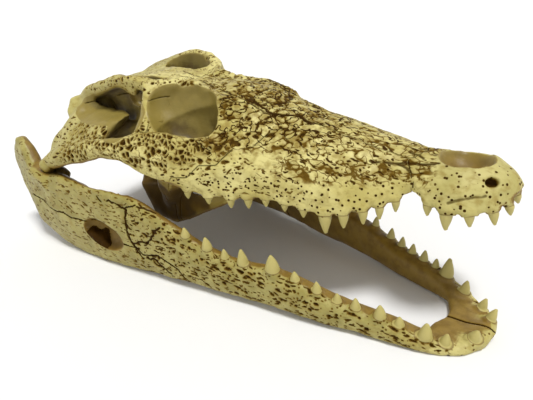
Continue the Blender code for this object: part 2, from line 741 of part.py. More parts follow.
def part_jaw(lower):
    """Two halves, each parted into tooth bone, upper and lower rear bone."""
    chin = [Vector(point) for point in CHIN_CUT]
    halves = cut(lower, upright_wall("chin_cut", chin, *WALL_LEVELS))
    walls_front = [Vector(point) for point in DENTARY_CUT]
    named = []
    for half in halves:
        bodies = cut(half, cross_wall("dentary_cut", walls_front))
        bodies.sort(key=lambda item: distance_to(item, (300, 0, -30)))
        front = bodies.pop(0)
        mark = "right" if front.data.vertices[0].co.y < 0.0 else "left"
        front.name = "dentary_" + mark
        named.append(front)
        rear_path = zigzag(ANGULAR_CUT, ZIGZAG_STEP, ZIGZAG_SWING)
        bodies = cut(bodies.pop(0), cross_wall("angular_cut", rear_path))
        sign = -1.0 if mark == "right" else 1.0
        named.append(claim(bodies, "surangular_" + mark, (60, sign * 95, 4)))
        named.append(claim(bodies, "angular_" + mark, (60, sign * 95, -84)))
    return named


# ---- pose and finish ---------------------------------------------------------------------
def skull_pose():
    """Upper skull's frame in the lower jaw's frame."""
    turn = Matrix.Rotation(SKULL_YAW, 4, "Z")
    turn = turn @ Matrix.Rotation(-GAPE, 4, "Y") @ Matrix.Rotation(SKULL_ROLL, 4, "X")
    return Matrix.Translation((0.0, SKULL_SHIFT * MM, 0.0)) @ turn


def socket_body(upper):
    """The upper skull grown by the joint's gap, in the jaw's frame; its knuckles make the sockets."""
    form = bmesh.new()
    form.from_mesh(upper.data)
    form.normal_update()
    for vert in form.verts:
        vert.co += vert.normal * (JOINT_GAP * MM)
    body = object_from_bmesh("socket", form)
    body.data.transform(skull_pose())
    return body


def grind_feet(lower):
    """Small flats at one level under the two rear corners and the chin."""
    form = bmesh.new()
    bmesh.ops.create_cube(form, size=1.0)
    bmesh.ops.translate(form, verts=form.verts[:], vec=(0.0, 0.0, FLOOR_LEVEL * MM - 0.5))
    block = object_from_bmesh("floor_block", form)
    block.data.transform(Matrix.Rotation(-JAW_PITCH, 4, "Y"))
    combine(lower, [block], "DIFFERENCE")


def paint(item, colour, roughness):
    """Own bone material for one node."""
    material = bpy.data.materials.new(item.name + "_bone")
    material.use_nodes = True
    shader = material.node_tree.nodes["Principled BSDF"]
    shader.inputs["Base Color"].default_value = (*colour, 1.0)
    shader.inputs["Roughness"].default_value = roughness
    shader.inputs["Metallic"].default_value = 0.0
    item.data.materials.clear()
    item.data.materials.append(material)


def main():
    clear_scene()
    upper = fused("upper", upper_masses(), FUSE_VOXEL)
    combine(upper, upper_openings(), "DIFFERENCE", overlap=True)
    upper = fused("upper", [upper], FUSE_VOXEL)
    relaxed(upper, 5)
    thinned(upper, UPPER_TRIANGLES)
    socket = socket_body(upper)
    combine(upper, upper_teeth(), "UNION", overlap=True)
    lower = fused("lower", lower_masses(), FUSE_VOXEL)
    combine(lower, lower_openings(), "DIFFERENCE", overlap=True)
    lower = fused("lower", [lower], FUSE_VOXEL)
    relaxed(lower, 4)
    thinned(lower, LOWER_TRIANGLES)
    combine(lower, lower_teeth(), "UNION", overlap=True)
    combine(lower, [socket], "DIFFERENCE", overlap=True)
    grind_feet(lower)
    face_path = [Vector(point) for point in FACE_CUT]
    bodies = cut(upper, cross_wall("face_cut", face_path))
    bodies.sort(key=lambda item: distance_to(item, (400, 0, 20)))
    named = part_snout(bodies[0]) + part_cranium(bodies[1])
    for item in named:
        item.data.transform(skull_pose())
    named += part_jaw(lower)
    place = Matrix.Translation(millimetres(*CENTRE_SHIFT, -FLOOR_LEVEL))
    place = place @ Matrix.Rotation(JAW_PITCH, 4, "Y")
    for item in named:
        item.data.transform(place)
        paint(item, BONE_COLOUR, BONE_ROUGHNESS)


main()
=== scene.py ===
# %% [markdown]
# # A crocodile skull, life size
# The skull lies with open jaws on a pale floor: a long upper skull over a V-shaped lower jaw.
# Its bones are already there as plain solids, one node for each bone, parted at the sutures.
# This lesson gives every bone its real surface: soft forms, pits and furrows, round teeth,
# dark sutures, and painted shade: brown in every pit and hollow, where less light reaches.

# %% Load the imported model as the fixed frame
import math

import bpy
import numpy as np
from mathutils import Matrix, Vector
from mathutils.bvhtree import BVHTree


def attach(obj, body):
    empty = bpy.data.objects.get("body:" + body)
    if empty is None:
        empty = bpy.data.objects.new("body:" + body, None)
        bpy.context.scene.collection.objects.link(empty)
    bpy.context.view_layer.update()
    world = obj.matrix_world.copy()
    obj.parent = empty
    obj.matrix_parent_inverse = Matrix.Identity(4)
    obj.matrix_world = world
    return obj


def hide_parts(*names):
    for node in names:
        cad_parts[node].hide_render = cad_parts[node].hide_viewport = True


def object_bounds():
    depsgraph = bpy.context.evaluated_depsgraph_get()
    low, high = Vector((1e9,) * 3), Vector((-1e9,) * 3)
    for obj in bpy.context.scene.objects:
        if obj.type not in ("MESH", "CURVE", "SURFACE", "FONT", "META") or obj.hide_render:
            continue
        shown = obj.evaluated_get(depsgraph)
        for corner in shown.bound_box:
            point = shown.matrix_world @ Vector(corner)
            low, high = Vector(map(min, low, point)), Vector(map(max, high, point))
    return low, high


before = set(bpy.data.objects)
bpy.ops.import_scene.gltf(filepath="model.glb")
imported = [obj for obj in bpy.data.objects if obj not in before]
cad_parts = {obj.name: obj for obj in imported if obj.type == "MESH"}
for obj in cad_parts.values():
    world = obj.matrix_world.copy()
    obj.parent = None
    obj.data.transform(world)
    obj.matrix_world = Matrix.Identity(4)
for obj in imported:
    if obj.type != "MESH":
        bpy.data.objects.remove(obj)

MM = 0.001
cad_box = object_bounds()
BOX_LOW = np.array(cad_box[0], float)
BOX_HIGH = np.array(cad_box[1], float)
bpy.ops.object.select_all(action="DESELECT")
print("box of the solids in mm", (BOX_LOW / MM).round(1), (BOX_HIGH / MM).round(1))

# %% [markdown]
# ## Two working frames
# Places on a skull are easier to name in the skull's own frame than on the floor. X runs forward
# from the jaw joint, Y to the animal's left and Z up, in millimetres. The upper skull and the
# lower jaw each have such a frame, because the mouth is open and the skull lies a little askew.

# %% Turn floor coordinates into the frame of the upper skull or of the lower jaw
SKULL_AXES = np.array((
    (0.998180, -0.060128, -0.004709),
    (0.060133, 0.998190, 0.001050),
    (0.004638, -0.001331, 0.999988),
))
SKULL_ORIGIN = np.array((-173.22, 1.99, 85.62))
JAW_AXES = np.array(((0.991558, 0.0, 0.129661), (0.0, 1.0, 0.0), (-0.129661, 0.0, 0.991558)))
JAW_ORIGIN = np.array((-173.2, -1.0, 85.8))
LOWER_BONES = [n for n in sorted(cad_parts) if n.startswith(("dentary", "surang", "angular"))]
UPPER_BONES = [n for n in sorted(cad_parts) if n not in LOWER_BONES]


def in_skull(points):
    return (points / MM - SKULL_ORIGIN) @ SKULL_AXES


def in_jaw(points):
    return (points / MM - JAW_ORIGIN) @ JAW_AXES


print(len(UPPER_BONES), "bones above,", len(LOWER_BONES), "below")

# %% [markdown]
# ## Working copies of the solids
# A solid from the frame is never changed. Its mesh arrives as loose triangles, so a copy is
# merged first; after that, modifiers and edit-mode operators work on it as on any mesh.

# %% Helpers that copy a bone and apply one modifier to it
MERGE = 0.00002  # metres; the solids' loose corners lie closer than this


def only(piece):
    """Select one object and nothing else."""
    bpy.ops.object.select_all(action="DESELECT")
    piece.select_set(True)
    bpy.context.view_layer.objects.active = piece


def copy_of(bone):
    """A merged copy of one bone's solid."""
    piece = bpy.data.objects.new("bone_" + bone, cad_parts[bone].data.copy())
    bpy.context.scene.collection.objects.link(piece)
    piece.data.materials.clear()
    only(piece)
    bpy.ops.object.mode_set(mode="EDIT")
    bpy.ops.mesh.select_all(action="SELECT")
    bpy.ops.mesh.remove_doubles(threshold=MERGE)
    bpy.ops.object.mode_set(mode="OBJECT")
    return piece


def finish_with(piece, kind, **settings):
    """Add one modifier and apply it."""
    modifier = piece.modifiers.new(kind.lower(), kind)
    for key, value in settings.items():
        setattr(modifier, key, value)
    only(piece)
    bpy.ops.object.modifier_apply(modifier=modifier.name)


def join_all(pieces):
    """Join several objects into the first one."""
    only(pieces[0])
    for piece in pieces:
        piece.select_set(True)
    bpy.ops.object.join()
    return pieces[0]


# %% [markdown]
# ## A mesh as rows of numbers
# A finished bone has a hundred thousand points. Moving them one by one would take minutes, so
# they are read into one table, changed together and written back.

# %% Helpers that read a mesh as arrays
def points_of(mesh):
    flat = np.empty(len(mesh.vertices) * 3, np.float32)
    mesh.vertices.foreach_get("co", flat)
    return flat.reshape(-1, 3).astype(float)


def normals_of(mesh):
    flat = np.empty(len(mesh.vertices) * 3, np.float32)
    mesh.vertex_normals.foreach_get("vector", flat)
    return flat.reshape(-1, 3).astype(float)


def edges_of(mesh):
    flat = np.empty(len(mesh.edges) * 2, np.int32)
    mesh.edges.foreach_get("vertices", flat)
    return flat.reshape(-1, 2)


def neighbour_mean(values, edges):
    """Mean of each vertex's neighbours, for one number or several per vertex."""
    count = len(values)
    a, b = edges[:, 0], edges[:, 1]
    share = np.bincount(a, minlength=count) + np.bincount(b, minlength=count)
    columns = values.reshape(count, -1)
    total = np.empty_like(columns)
    for k in range(columns.shape[1]):
        total[:, k] = np.bincount(a, columns[b, k], count) + np.bincount(b, columns[a, k], count)
    return (total / np.maximum(share, 1)[:, None]).reshape(values.shape)


# %% [markdown]
# ## One soft skin over all the bones
# The solids are faceted. If each bone were smoothed alone, its edges would round off and the
# sutures would open. So the bones are first swollen a hair and fused into one closed skin, and
# that skin is relaxed. The relaxing goes forward and back in turn, which takes the facets away
# and leaves thin bars their thickness. Later each bone's outer face is laid on this skin.

# %% Round hollows: centre and half widths, as on the right side, in the skull's or jaw's frame
BOTH, RIGHT = (1.0, -1.0), (1.0,)
UPPER_HOLLOWS = {
    "orbit": ((175.5, -53, 73), (35.5, 29, 31), BOTH),
    "orbit_floor": ((181, -50, 56), (32, 25, 30), BOTH),
    "nostril": ((399, 0, 42), (19, 17, 20), RIGHT),
    "roof_window": ((106, -31, 98), (31, 11, 42), BOTH),
    "roof_dip": ((108, -37, 121), (42, 24, 31), RIGHT),
}
LOWER_HOLLOWS = {"jaw_window": ((107, -103, -37), (29, 16.5, 15.5), BOTH)}
# Recesses that count as inner faces: no sculpture, and the amber of the inner faces, partly painted
# shade.
UPPER_SHADES = {
    "ear_recess": ((72, -64, 64), (54, 28, 15), BOTH),
    "cheek_window": ((118, -68, 58), (24, 40, 20), BOTH),
}


def each_hollow(hollows):
    """Every hollow's centre and half widths, on the sides that have it."""
    for centre, half, sides in hollows.values():
        for side in sides:
            yield np.array(centre) * (1.0, side, 1.0), np.array(half)


def hollow_out(points, hollows):
    """Points inside a hollow are pressed out onto its smooth wall."""
    for heart, half in each_hollow(hollows):
        arm = (points - heart) / half
        reach = np.maximum(np.linalg.norm(arm, axis=1), 0.05)
        points = np.where((reach < 1.0)[:, None], heart + arm / reach[:, None] * half, points)
    return points


# %% Relax a skin without thinning its bars
RELAX_ROUNDS = 36
RELAX_IN = 0.5
RELAX_OUT = -0.52
SOFTEN_ROUNDS = 2


def relaxed(points, edges):
    for _ in range(RELAX_ROUNDS):
        for factor in (RELAX_IN, RELAX_OUT):
            points = points + factor * (neighbour_mean(points, edges) - points)
    for _ in range(SOFTEN_ROUNDS):
        points = points + RELAX_IN * (neighbour_mean(points, edges) - points)
    return points


# %% Fuse the bones of the upper skull, and those of the lower jaw, into one skin each
SWELL = 0.0006
SKIN_VOXEL = 0.002
RIM_SOFTENING = 0.4


def make_skin(bones, hollows, origin, axes):
    """One closed soft skin round several bones, with its hollows pressed in."""
    copies = [copy_of(bone) for bone in bones]
    for piece in copies:
        finish_with(piece, "DISPLACE", strength=SWELL, mid_level=0.0)
    skin = join_all(copies)
    finish_with(skin, "REMESH", mode="VOXEL", voxel_size=SKIN_VOXEL)
    edges = edges_of(skin.data)
    places = relaxed(points_of(skin.data), edges) - SWELL * normals_of(skin.data)
    own = hollow_out((places / MM - origin) @ axes, hollows)
    places = (own @ axes.T + origin) * MM
    places = places + RIM_SOFTENING * (neighbour_mean(places, edges) - places)
    faces = [tuple(face.vertices) for face in skin.data.polygons]
    skin.data.vertices.foreach_set("co", places.astype(np.float32).ravel())
    skin.data.update()
    normals = normals_of(skin.data)
    bpy.data.objects.remove(skin, do_unlink=True)
    tree = BVHTree.FromPolygons(places.tolist(), faces)
    return {"points": places, "faces": np.array([f[:4] for f in faces]), "normals": normals,
            "edges": edges, "tree": tree}


upper_skin = make_skin(UPPER_BONES, UPPER_HOLLOWS, SKULL_ORIGIN, SKULL_AXES)
lower_skin = make_skin(LOWER_BONES, LOWER_HOLLOWS, JAW_ORIGIN, JAW_AXES)
print("skins:", len(upper_skin["points"]), "and", len(lower_skin["points"]), "points")

# %% [markdown]
# ## How open each place lies
# Less light reaches a hollow, so hollows are painted darker: this brown is painted shade. Rays sent
# out from the skin in many directions tell how much of the sky a place sees. The share that gets
# away is kept for every point; it steers both the painted shade in the colour and the texture.

# %% Measure the openness of both skins with rays
RAYS = 26
RAY_LENGTH = 0.07
RAY_START = 0.0008
GRAZING = 0.1
BLUR_ROUNDS = 6
GOLDEN_TURN = math.pi * (3.0 - math.sqrt(5.0))


def directions():
    """Evenly spread directions, laid on a spiral over the sphere."""
    height = 1.0 - (2.0 * np.arange(RAYS) + 1.0) / RAYS
    round_ = np.sqrt(1.0 - height**2)
    turn = GOLDEN_TURN * np.arange(RAYS)
    return np.stack((round_ * np.cos(turn), round_ * np.sin(turn), height), axis=1)


def openness(skin, others):
    """The share of the sky that each point of the skin sees."""
    ways = directions()
    facing = np.clip(skin["normals"] @ ways.T, 0.0, 1.0)
    starts = skin["points"] + RAY_START * skin["normals"]
    free = np.zeros(len(starts))
    vectors = [Vector(way) for way in ways]
    for i, (start, weights) in enumerate(zip(starts.tolist(), facing)):
        origin = Vector(start)
        for k in np.flatnonzero(weights > GRAZING).tolist():
            if all(tree.ray_cast(origin, vectors[k], RAY_LENGTH)[0] is None for tree in others):
                free[i] += weights[k]
    free /= np.maximum(np.where(facing > GRAZING, facing, 0.0).sum(axis=1), GRAZING)
    for _ in range(BLUR_ROUNDS):
        free = 0.5 * free + 0.5 * neighbour_mean(free, skin["edges"])
    return free


trees = (upper_skin["tree"], lower_skin["tree"])
for skin in (upper_skin, lower_skin):
    skin["open"] = openness(skin, trees)
    print("openness", skin["open"].min().round(2), "to", skin["open"].max().round(2))

# %% [markdown]
# ## Teeth
# A crocodile's teeth are plain cones with a round section, a little curved, each in a socket of
# its own. One tooth is modelled by hand: a circle is extruded and scaled ring by ring. Every
# tooth of the skull is a copy with its own mesh, set from its foot to its tip.

# %% Model one tooth by extruding a circle
TOOTH_SIDES = 20
CROWN = ((-0.30, 1.00), (0.05, 1.06), (0.30, 1.00), (0.52, 0.82), (0.72, 0.60), (0.88, 0.38),
         (0.98, 0.22), (1.03, 0.08))
TOOTH_CURVE = 0.07


def model_tooth():
    bpy.ops.object.select_all(action="DESELECT")
    bpy.ops.mesh.primitive_circle_add(vertices=TOOTH_SIDES, radius=CROWN[0][1], fill_type="NGON",
                                      location=(0.0, 0.0, CROWN[0][0]))
    tooth = bpy.context.object
    bpy.ops.object.transform_apply(location=True)
    bpy.ops.object.mode_set(mode="EDIT")
    bpy.ops.mesh.select_all(action="SELECT")
    for (low, before), (high, after) in zip(CROWN, CROWN[1:]):
        bpy.ops.mesh.extrude_region_move(TRANSFORM_OT_translate={"value": (0, 0, high - low)})
        share = after / before
        bpy.ops.transform.resize(value=(share, share, 1.0))
    bpy.ops.mesh.select_all(action="SELECT")
    bpy.ops.mesh.normals_make_consistent(inside=False)
    bpy.ops.object.mode_set(mode="OBJECT")
    return tooth


pattern_tooth = model_tooth()
print("one tooth has", len(pattern_tooth.data.polygons), "faces")

# %% The teeth's feet, tips and radii, in millimetres on the floor's axes
TEETH = {
    "upper_right": (
        (255.3, 18.8, 97.1, 257.8, 18.2, 89.5, 3.0), (248.8, 9.5, 95.5, 251.8, 8.6, 85.0, 3.3),
        (237.7, -0.9, 94.4, 239.6, -1.7, 85.1, 3.3), (224.3, -4.4, 94.5, 225.9, -5.7, 80.7, 4.2),
        (211.3, -3.5, 97.0, 212.3, -4.4, 87.6, 3.2), (188.3, -3.8, 94.4, 189.4, -4.7, 84.5, 3.0),
        (179.2, -10.6, 90.6, 180.4, -11.7, 79.2, 3.2),
        (170.1, -17.9, 88.3, 171.4, -19.0, 76.4, 3.5),
        (158.1, -25.2, 85.6, 159.4, -26.4, 73.2, 3.8),
        (144.8, -29.6, 84.3, 146.7, -31.2, 67.5, 4.8),
        (128.0, -33.7, 85.6, 128.9, -34.5, 77.7, 3.2),
        (111.6, -35.9, 87.0, 112.4, -36.6, 79.6, 3.0), (94.2, -38.3, 88.1, 95.0, -39.0, 80.6, 3.2),
        (78.4, -42.4, 86.5, 79.5, -43.3, 77.1, 3.6), (63.3, -47.9, 84.9, 64.2, -48.7, 76.0, 3.5),
        (44.2, -55.6, 85.6, 45.0, -56.3, 78.2, 3.2), (25.0, -61.9, 89.6, 25.9, -62.6, 81.7, 3.2),
    ),
    "upper_left": (
        (254.2, 37.1, 97.1, 256.6, 38.0, 89.5, 3.0), (246.6, 45.6, 95.5, 249.5, 46.8, 85.0, 3.3),
        (234.3, 54.5, 94.3, 236.2, 55.5, 85.1, 3.3), (220.6, 56.4, 94.5, 222.1, 57.9, 80.6, 4.2),
        (207.8, 53.9, 97.0, 208.7, 54.9, 87.6, 3.2), (184.9, 51.4, 94.3, 185.9, 52.4, 84.4, 3.0),
        (175.1, 57.1, 90.5, 176.2, 58.3, 79.1, 3.2), (165.2, 63.2, 88.2, 166.4, 64.4, 76.3, 3.5),
        (152.3, 69.0, 85.5, 153.6, 70.3, 73.1, 3.8), (138.7, 71.8, 84.2, 140.3, 73.5, 67.4, 4.8),
        (121.5, 73.8, 85.5, 122.3, 74.7, 77.6, 3.2), (105.0, 74.0, 86.9, 105.7, 74.8, 79.5, 3.0),
        (87.4, 74.3, 88.0, 88.1, 75.1, 80.5, 3.2), (71.2, 76.4, 86.4, 72.2, 77.4, 77.0, 3.6),
        (55.5, 80.1, 84.8, 56.4, 81.0, 75.9, 3.5), (35.6, 85.5, 85.5, 36.4, 86.2, 78.1, 3.2),
        (15.8, 89.4, 89.5, 16.6, 90.2, 81.6, 3.2),
    ),
    "lower_right": (
        (252.3, -15.2, 7.8, 255.9, -16.4, 17.0, 4.0), (237.9, -28.7, 5.9, 241.1, -30.0, 16.3, 3.6),
        (226.2, -34.2, 8.6, 229.5, -36.0, 23.6, 4.8),
        (209.8, -38.8, 15.0, 211.2, -39.9, 23.8, 3.4),
        (196.7, -41.9, 18.3, 198.4, -43.4, 30.1, 4.2),
        (179.3, -46.0, 20.8, 181.0, -47.3, 31.6, 3.4),
        (166.1, -49.4, 23.5, 167.4, -50.5, 32.3, 3.0),
        (150.6, -53.1, 28.5, 152.2, -54.4, 38.9, 3.4),
        (133.2, -56.9, 34.3, 134.6, -58.0, 43.6, 3.4),
        (114.0, -60.5, 38.1, 116.4, -62.4, 53.8, 5.6), (86.6, -65.6, 36.9, 89.1, -67.6, 53.1, 4.5),
        (69.9, -69.4, 39.6, 71.3, -70.6, 49.4, 3.2), (53.4, -73.5, 44.6, 55.4, -75.1, 57.8, 4.4),
        (32.8, -78.2, 53.1, 34.4, -79.5, 63.4, 3.6),
    ),
    "lower_left": (
        (254.4, 9.5, 8.7, 258.5, 10.7, 18.8, 3.4), (244.5, 21.9, 5.8, 247.9, 23.1, 15.7, 3.4),
        (228.1, 31.5, 8.0, 230.7, 32.8, 19.1, 3.8), (212.2, 36.3, 14.0, 214.8, 38.3, 30.7, 5.0),
        (202.1, 38.7, 17.4, 203.4, 39.8, 26.2, 3.0), (191.2, 41.1, 18.9, 192.8, 42.4, 29.2, 3.4),
        (179.8, 43.9, 20.7, 181.3, 45.0, 30.5, 3.2), (169.0, 46.6, 22.8, 170.5, 47.8, 32.6, 3.2),
        (157.3, 49.5, 26.1, 158.9, 50.8, 36.4, 3.4), (140.5, 53.4, 32.2, 141.9, 54.5, 41.5, 3.2),
        (114.0, 58.5, 38.1, 116.3, 60.3, 52.8, 5.0), (88.7, 63.2, 36.8, 90.4, 64.6, 48.6, 4.0),
        (68.9, 67.7, 39.8, 70.4, 68.9, 49.6, 3.4), (51.4, 71.9, 45.3, 53.1, 73.3, 56.1, 3.6),
        (32.8, 76.2, 53.1, 34.2, 77.4, 62.4, 3.4),
    ),
}


def place_tooth(row, number):
    """A copy of the tooth from foot to tip, curved a little to the rear."""
    foot, tip, radius = Vector(row[:3]) * MM, Vector(row[3:6]) * MM, row[6] * MM
    axis = tip - foot
    turn = axis.to_track_quat("Z", "X").to_matrix().to_4x4()
    size = Matrix.Diagonal((radius, radius, axis.length, 1.0))
    tooth = bpy.data.objects.new(f"tooth_{number}", pattern_tooth.data.copy())
    bpy.context.scene.collection.objects.link(tooth)
    tooth.data.transform(Matrix.Translation(foot) @ turn @ size)
    for vertex in tooth.data.vertices:
        share = max(0.0, (vertex.co - foot).dot(axis) / axis.length_squared)
        vertex.co.x -= TOOTH_CURVE * axis.length * share**2
    return tooth


def teeth_of(bone):
    """Rows of the teeth that grow from a bone."""
    if bone.startswith("dentary"):
        return TEETH["lower_right" if bone.endswith("right") else "lower_left"]
    if bone == "premaxilla":
        return TEETH["upper_right"][:5] + TEETH["upper_left"][:5]
    if bone.startswith("maxilla"):
        return TEETH["upper_right" if bone.endswith("right") else "upper_left"][5:]
    return ()


print(sum(len(teeth_of(bone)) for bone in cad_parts), "teeth")

# %% [markdown]
# ## Patterns for the bone's surface
# Crocodile bone is sculptured: round pits, long furrows, honeycomb and winding ridges. Blender's
# texture nodes could fake this with bump, but real pits have an outline and a shadow, so they
# are cut into the mesh. The patterns come from a loose lattice in space: every cell of it holds
# one random point, always the same, so the pattern runs on across a suture from bone to bone.

# %% Repeatable random numbers
CELL_STEPS = [(i, j, k) for i in (-1, 0, 1) for j in (-1, 0, 1) for k in (-1, 0, 1)]
FACTORS = np.array((73856093, 19349663, 83492791), np.uint32)


def dice(cell, seed):
    """A number from 0 to 1 for each lattice cell."""
    mixed = (cell.astype(np.int64).astype(np.uint32) * FACTORS)
    mixed = mixed[:, 0] ^ mixed[:, 1] ^ mixed[:, 2] ^ np.uint32(seed * 2654435 + 977)
    mixed = (mixed ^ (mixed >> np.uint32(13))) * np.uint32(1274126177)
    mixed = (mixed ^ (mixed >> np.uint32(15))) * np.uint32(2246822519)
    return (mixed ^ (mixed >> np.uint32(16))).astype(float) / 2.0**32


def ease(value, low, high):
    """Smooth step from 0 at low to 1 at high."""
    share = np.clip((value - low) / (high - low), 0.0, 1.0)
    return share * share * (3.0 - 2.0 * share)


# %% Soft waves
def ripple(points, size, seed):
    """Soft random waves between -1 and 1, with humps about as wide as size."""
    scaled = points / size
    home = np.floor(scaled)
    part = scaled - home
    part = part * part * (3.0 - 2.0 * part)
    total = np.zeros(len(points))
    for corner in range(8):
        step = np.array((corner & 1, (corner >> 1) & 1, (corner >> 2) & 1))
        weight = np.prod(np.where(step == 1, part, 1.0 - part), axis=1)
        total += weight * dice(home + step, seed)
    return 2.0 * total - 1.0


def warped(points, size, swing, seed):
    """The points pushed about by waves, so that a pattern laid on them looks grown."""
    push = np.stack([ripple(points, size, seed + k) for k in range(3)], axis=1)
    return points + swing * push


# %% Round dimples, walled cells and winding grooves
def spots(points, size, reach, keep, seed):
    """Round dimples, 0 outside them and 1 in their middle."""
    scaled = points / size
    home = np.floor(scaled)
    best = np.zeros(len(points))
    for step in CELL_STEPS:
        cell = home + step
        heart = cell + 0.15 + 0.7 * np.stack([dice(cell, seed + k) for k in range(3)], axis=1)
        radius = reach * (0.55 + 0.75 * dice(cell, seed + 3))
        rise = 1.0 - ((scaled - heart) ** 2).sum(axis=1) / radius**2
        best = np.maximum(best, np.where(dice(cell, seed + 4) < keep, rise, 0.0))
    return best


def comb(points, size, seed):
    """Distance from the walls between cells: 0 on a wall, growing into each cell."""
    scaled = points / size
    home = np.floor(scaled)
    near = np.full(len(points), 9.0)
    second = np.full(len(points), 9.0)
    for step in CELL_STEPS:
        cell = home + step
        heart = cell + 0.1 + 0.8 * np.stack([dice(cell, seed + k) for k in range(3)], axis=1)
        gap = np.sqrt(((scaled - heart) ** 2).sum(axis=1))
        second = np.minimum(second, np.maximum(near, gap))
        near = np.minimum(near, gap)
    return second - near


def valleys(points, size, width, seed):
    """Winding grooves along the places where random waves cross zero."""
    waves = ripple(points, size, seed) + 0.5 * ripple(points, 0.5 * size, seed + 1)
    return ease(-np.abs(waves), -width, -0.2 * width)


# %% [markdown]
# ## Sutures and raised lines
# Some sutures are the real gaps between the bones; others only show as a dark winding line on
# one bone. Such a line is a row of named points in the skull's own frame. A groove or a ridge
# follows it: the nearer a point of the surface lies to the line, the more it moves.

# %% Measure the distance from a line
def distance_to_line(points, line):
    """Distance of every point from a broken line."""
    nearest = np.full(len(points), 1e9)
    for start, end in zip(line, line[1:]):
        start, end = np.array(start, float), np.array(end, float)
        way = end - start
        share = np.clip((points - start) @ way / (way @ way), 0.0, 1.0)
        gap = np.linalg.norm(points - start - share[:, None] * way, axis=1)
        nearest = np.minimum(nearest, gap)
    return nearest


# %% Lines on the upper skull and on the lower jaw: how dark, and their points
UPPER_LINES = {
    "forehead": (0.7, ((123, -8, 87), (139, -4, 85), (158, -5, 82), (177, -12, 80),
                       (195, -18, 78), (217, -24, 75), (234, -24, 68), (245, -25, 64),
                       (255, -25, 60))),
    "eye_front": (0.6, ((207, -35, 74), (220, -35, 71), (228, -29, 71), (234, -24, 68))),
    "brow": (1.0, ((227, -17, 72), (234, -19, 69), (240, -21, 67), (252, -23, 62),
                   (262, -21, 59), (269, -17, 59), (275, -15, 58), (286, -18, 54))),
    "brow_ring": (0.7, ((229, -6, 73), (230, 5, 74), (229, 21, 71), (239, 22, 67), (253, 5, 67),
                        (254, -6, 66), (248, -15, 66), (236, -12, 70))),
    "snout_top": (0.8, ((271, -12, 60), (278, -14, 58), (285, -17, 55), (295, -15, 53))),
    "snout_side": (0.7, ((341, -27, 34), (346, -25, 33), (351, -23, 33), (356, -21, 32),
                         (361, -19, 32), (371, -16, 32), (379, -16, 33), (385, -14, 34))),
    "snout_branch": (0.7, ((359, -20, 31), (365, -21, 30), (368, -21, 27))),
    "nose": (0.7, ((363, -9, 37), (369, -9, 35), (373, -11, 35))),
    "lip": (0.6, ((398, -33, 14), (405, -31, 17), (410, -28, 18), (418, -23, 19))),
}
LOWER_LINES = {
    "cheek_upper": (1.0, ((105, -98, 6), (113, -97, 2), (122, -96, 7), (133, -94, 5),
                          (143, -93, 3), (141, -94, -6), (143, -94, -16), (142, -94, -24),
                          (147, -94, -33), (159, -92, -26), (166, -91, -26), (176, -89, -13),
                          (175, -89, -8), (183, -86, -3))),
    "cheek_lower": (0.9, ((147, -94, -33), (152, -93, -39), (158, -91, -45), (174, -89, -41),
                          (182, -87, -47), (192, -85, -50))),
    "cheek_branch": (0.8, ((156, -89, 10), (166, -85, 9), (173, -81, 6))),
}

# %% Mark the points near a line
LINE_STEP, LINE_SWING = 3.5, 0.9
LINE_EDGE, LINE_FLOOR = 1.7, 0.6
LINE_MARGIN = 4.0


def winding(points, seed):
    """The line with small uneven turns laid along it."""
    rows = [np.array(point, float) for point in points]
    result = [rows[0]]
    for start, end in zip(rows, rows[1:]):
        count = max(1, int(round(np.linalg.norm(end - start) / LINE_STEP)))
        for k in range(1, count + 1):
            place = start + (end - start) * (k / count)
            key = np.array([[k, len(result), seed]])
            turn = np.array([dice(key, 1)[0], dice(key, 2)[0], dice(key, 3)[0]]) - 0.5
            result.append(place + (0.0 if k == count else 2.0 * LINE_SWING) * turn)
    return result


def drawn_lines(places, lines):
    """How strongly the dark lines of both sides mark each point, from 0 to 1."""
    marks = np.zeros(len(places))
    for number, (force, line) in enumerate(lines.values()):
        for side in (1.0, -1.0):
            path = winding([(x, side * y, z) for x, y, z in line], number)
            low, high = np.min(path, axis=0) - LINE_MARGIN, np.max(path, axis=0) + LINE_MARGIN
            near = ((places > low) & (places < high)).all(axis=1)
            if near.any():
                gap = distance_to_line(places[near], path)
                marks[near] = np.maximum(marks[near], force * ease(gap, LINE_EDGE, LINE_FLOOR))
    return marks


print(len(UPPER_LINES), "lines above and", len(LOWER_LINES), "below")

# %% [markdown]
# ## Where each kind of sculpture lies
# Each region of the skull has its own sculpture. The cheek bar is full of deep uneven pits; in
# front of the eye run winding ridges; the snout carries long furrows; a band of round holes
# follows the tooth row, where vessels left the bone. Such regions could be painted on by hand.
# Here each one is a box with soft sides in the skull's own frame, so that it can be read and moved.

# %% Regions of the upper skull and of the lower jaw
# Each limit names a measure and fades from 0 at its first number to 1 at its second, in mm.
UPPER_REGIONS = {
    "bar": (("x", 30, 60), ("x", 250, 215), ("z", 12, 18), ("z", 64, 56), ("side", 52, 62),
            ("bar_edge", 24, 31)),
    "under": (("x", 150, 175), ("x", 330, 300), ("side", 50, 60), ("z", 2, 8)),
    "brow": (("x", 200, 222), ("x", 320, 275), ("z", 32, 44)),
    "snout": (("x", 255, 290), ("x", 392, 376), ("z", 14, 24)),
    "roof": (("x", 168, 150), ("z", 74, 82)),
    "between": (("x", 145, 160), ("x", 235, 212), ("side", 62, 48), ("z", 58, 70)),
    "holes": (("x", 205, 235), ("x", 434, 426), ("z", 30, 17), ("side", 8, 16)),
    "nose": (("x", 376, 392),),
    "rear": (("x", 60, 40), ("side", 60, 75)),
}
LOWER_REGIONS = {
    "front": (("x", 125, 160), ("x", 432, 415)),
    "rear": (("x", 170, 125),),
}
BAR_SLOPE, BAR_START = 0.16, 200
UNDER_BAR = 0.85
NOSE_HOLES = 0.8


def measures_of(places):
    """What the limits are read on: the three axes and the sloping lower edge of the cheek bar."""
    x, y, z = places.T
    return {"x": x, "side": np.abs(y), "z": z, "bar_edge": z + BAR_SLOPE * (BAR_START - x)}


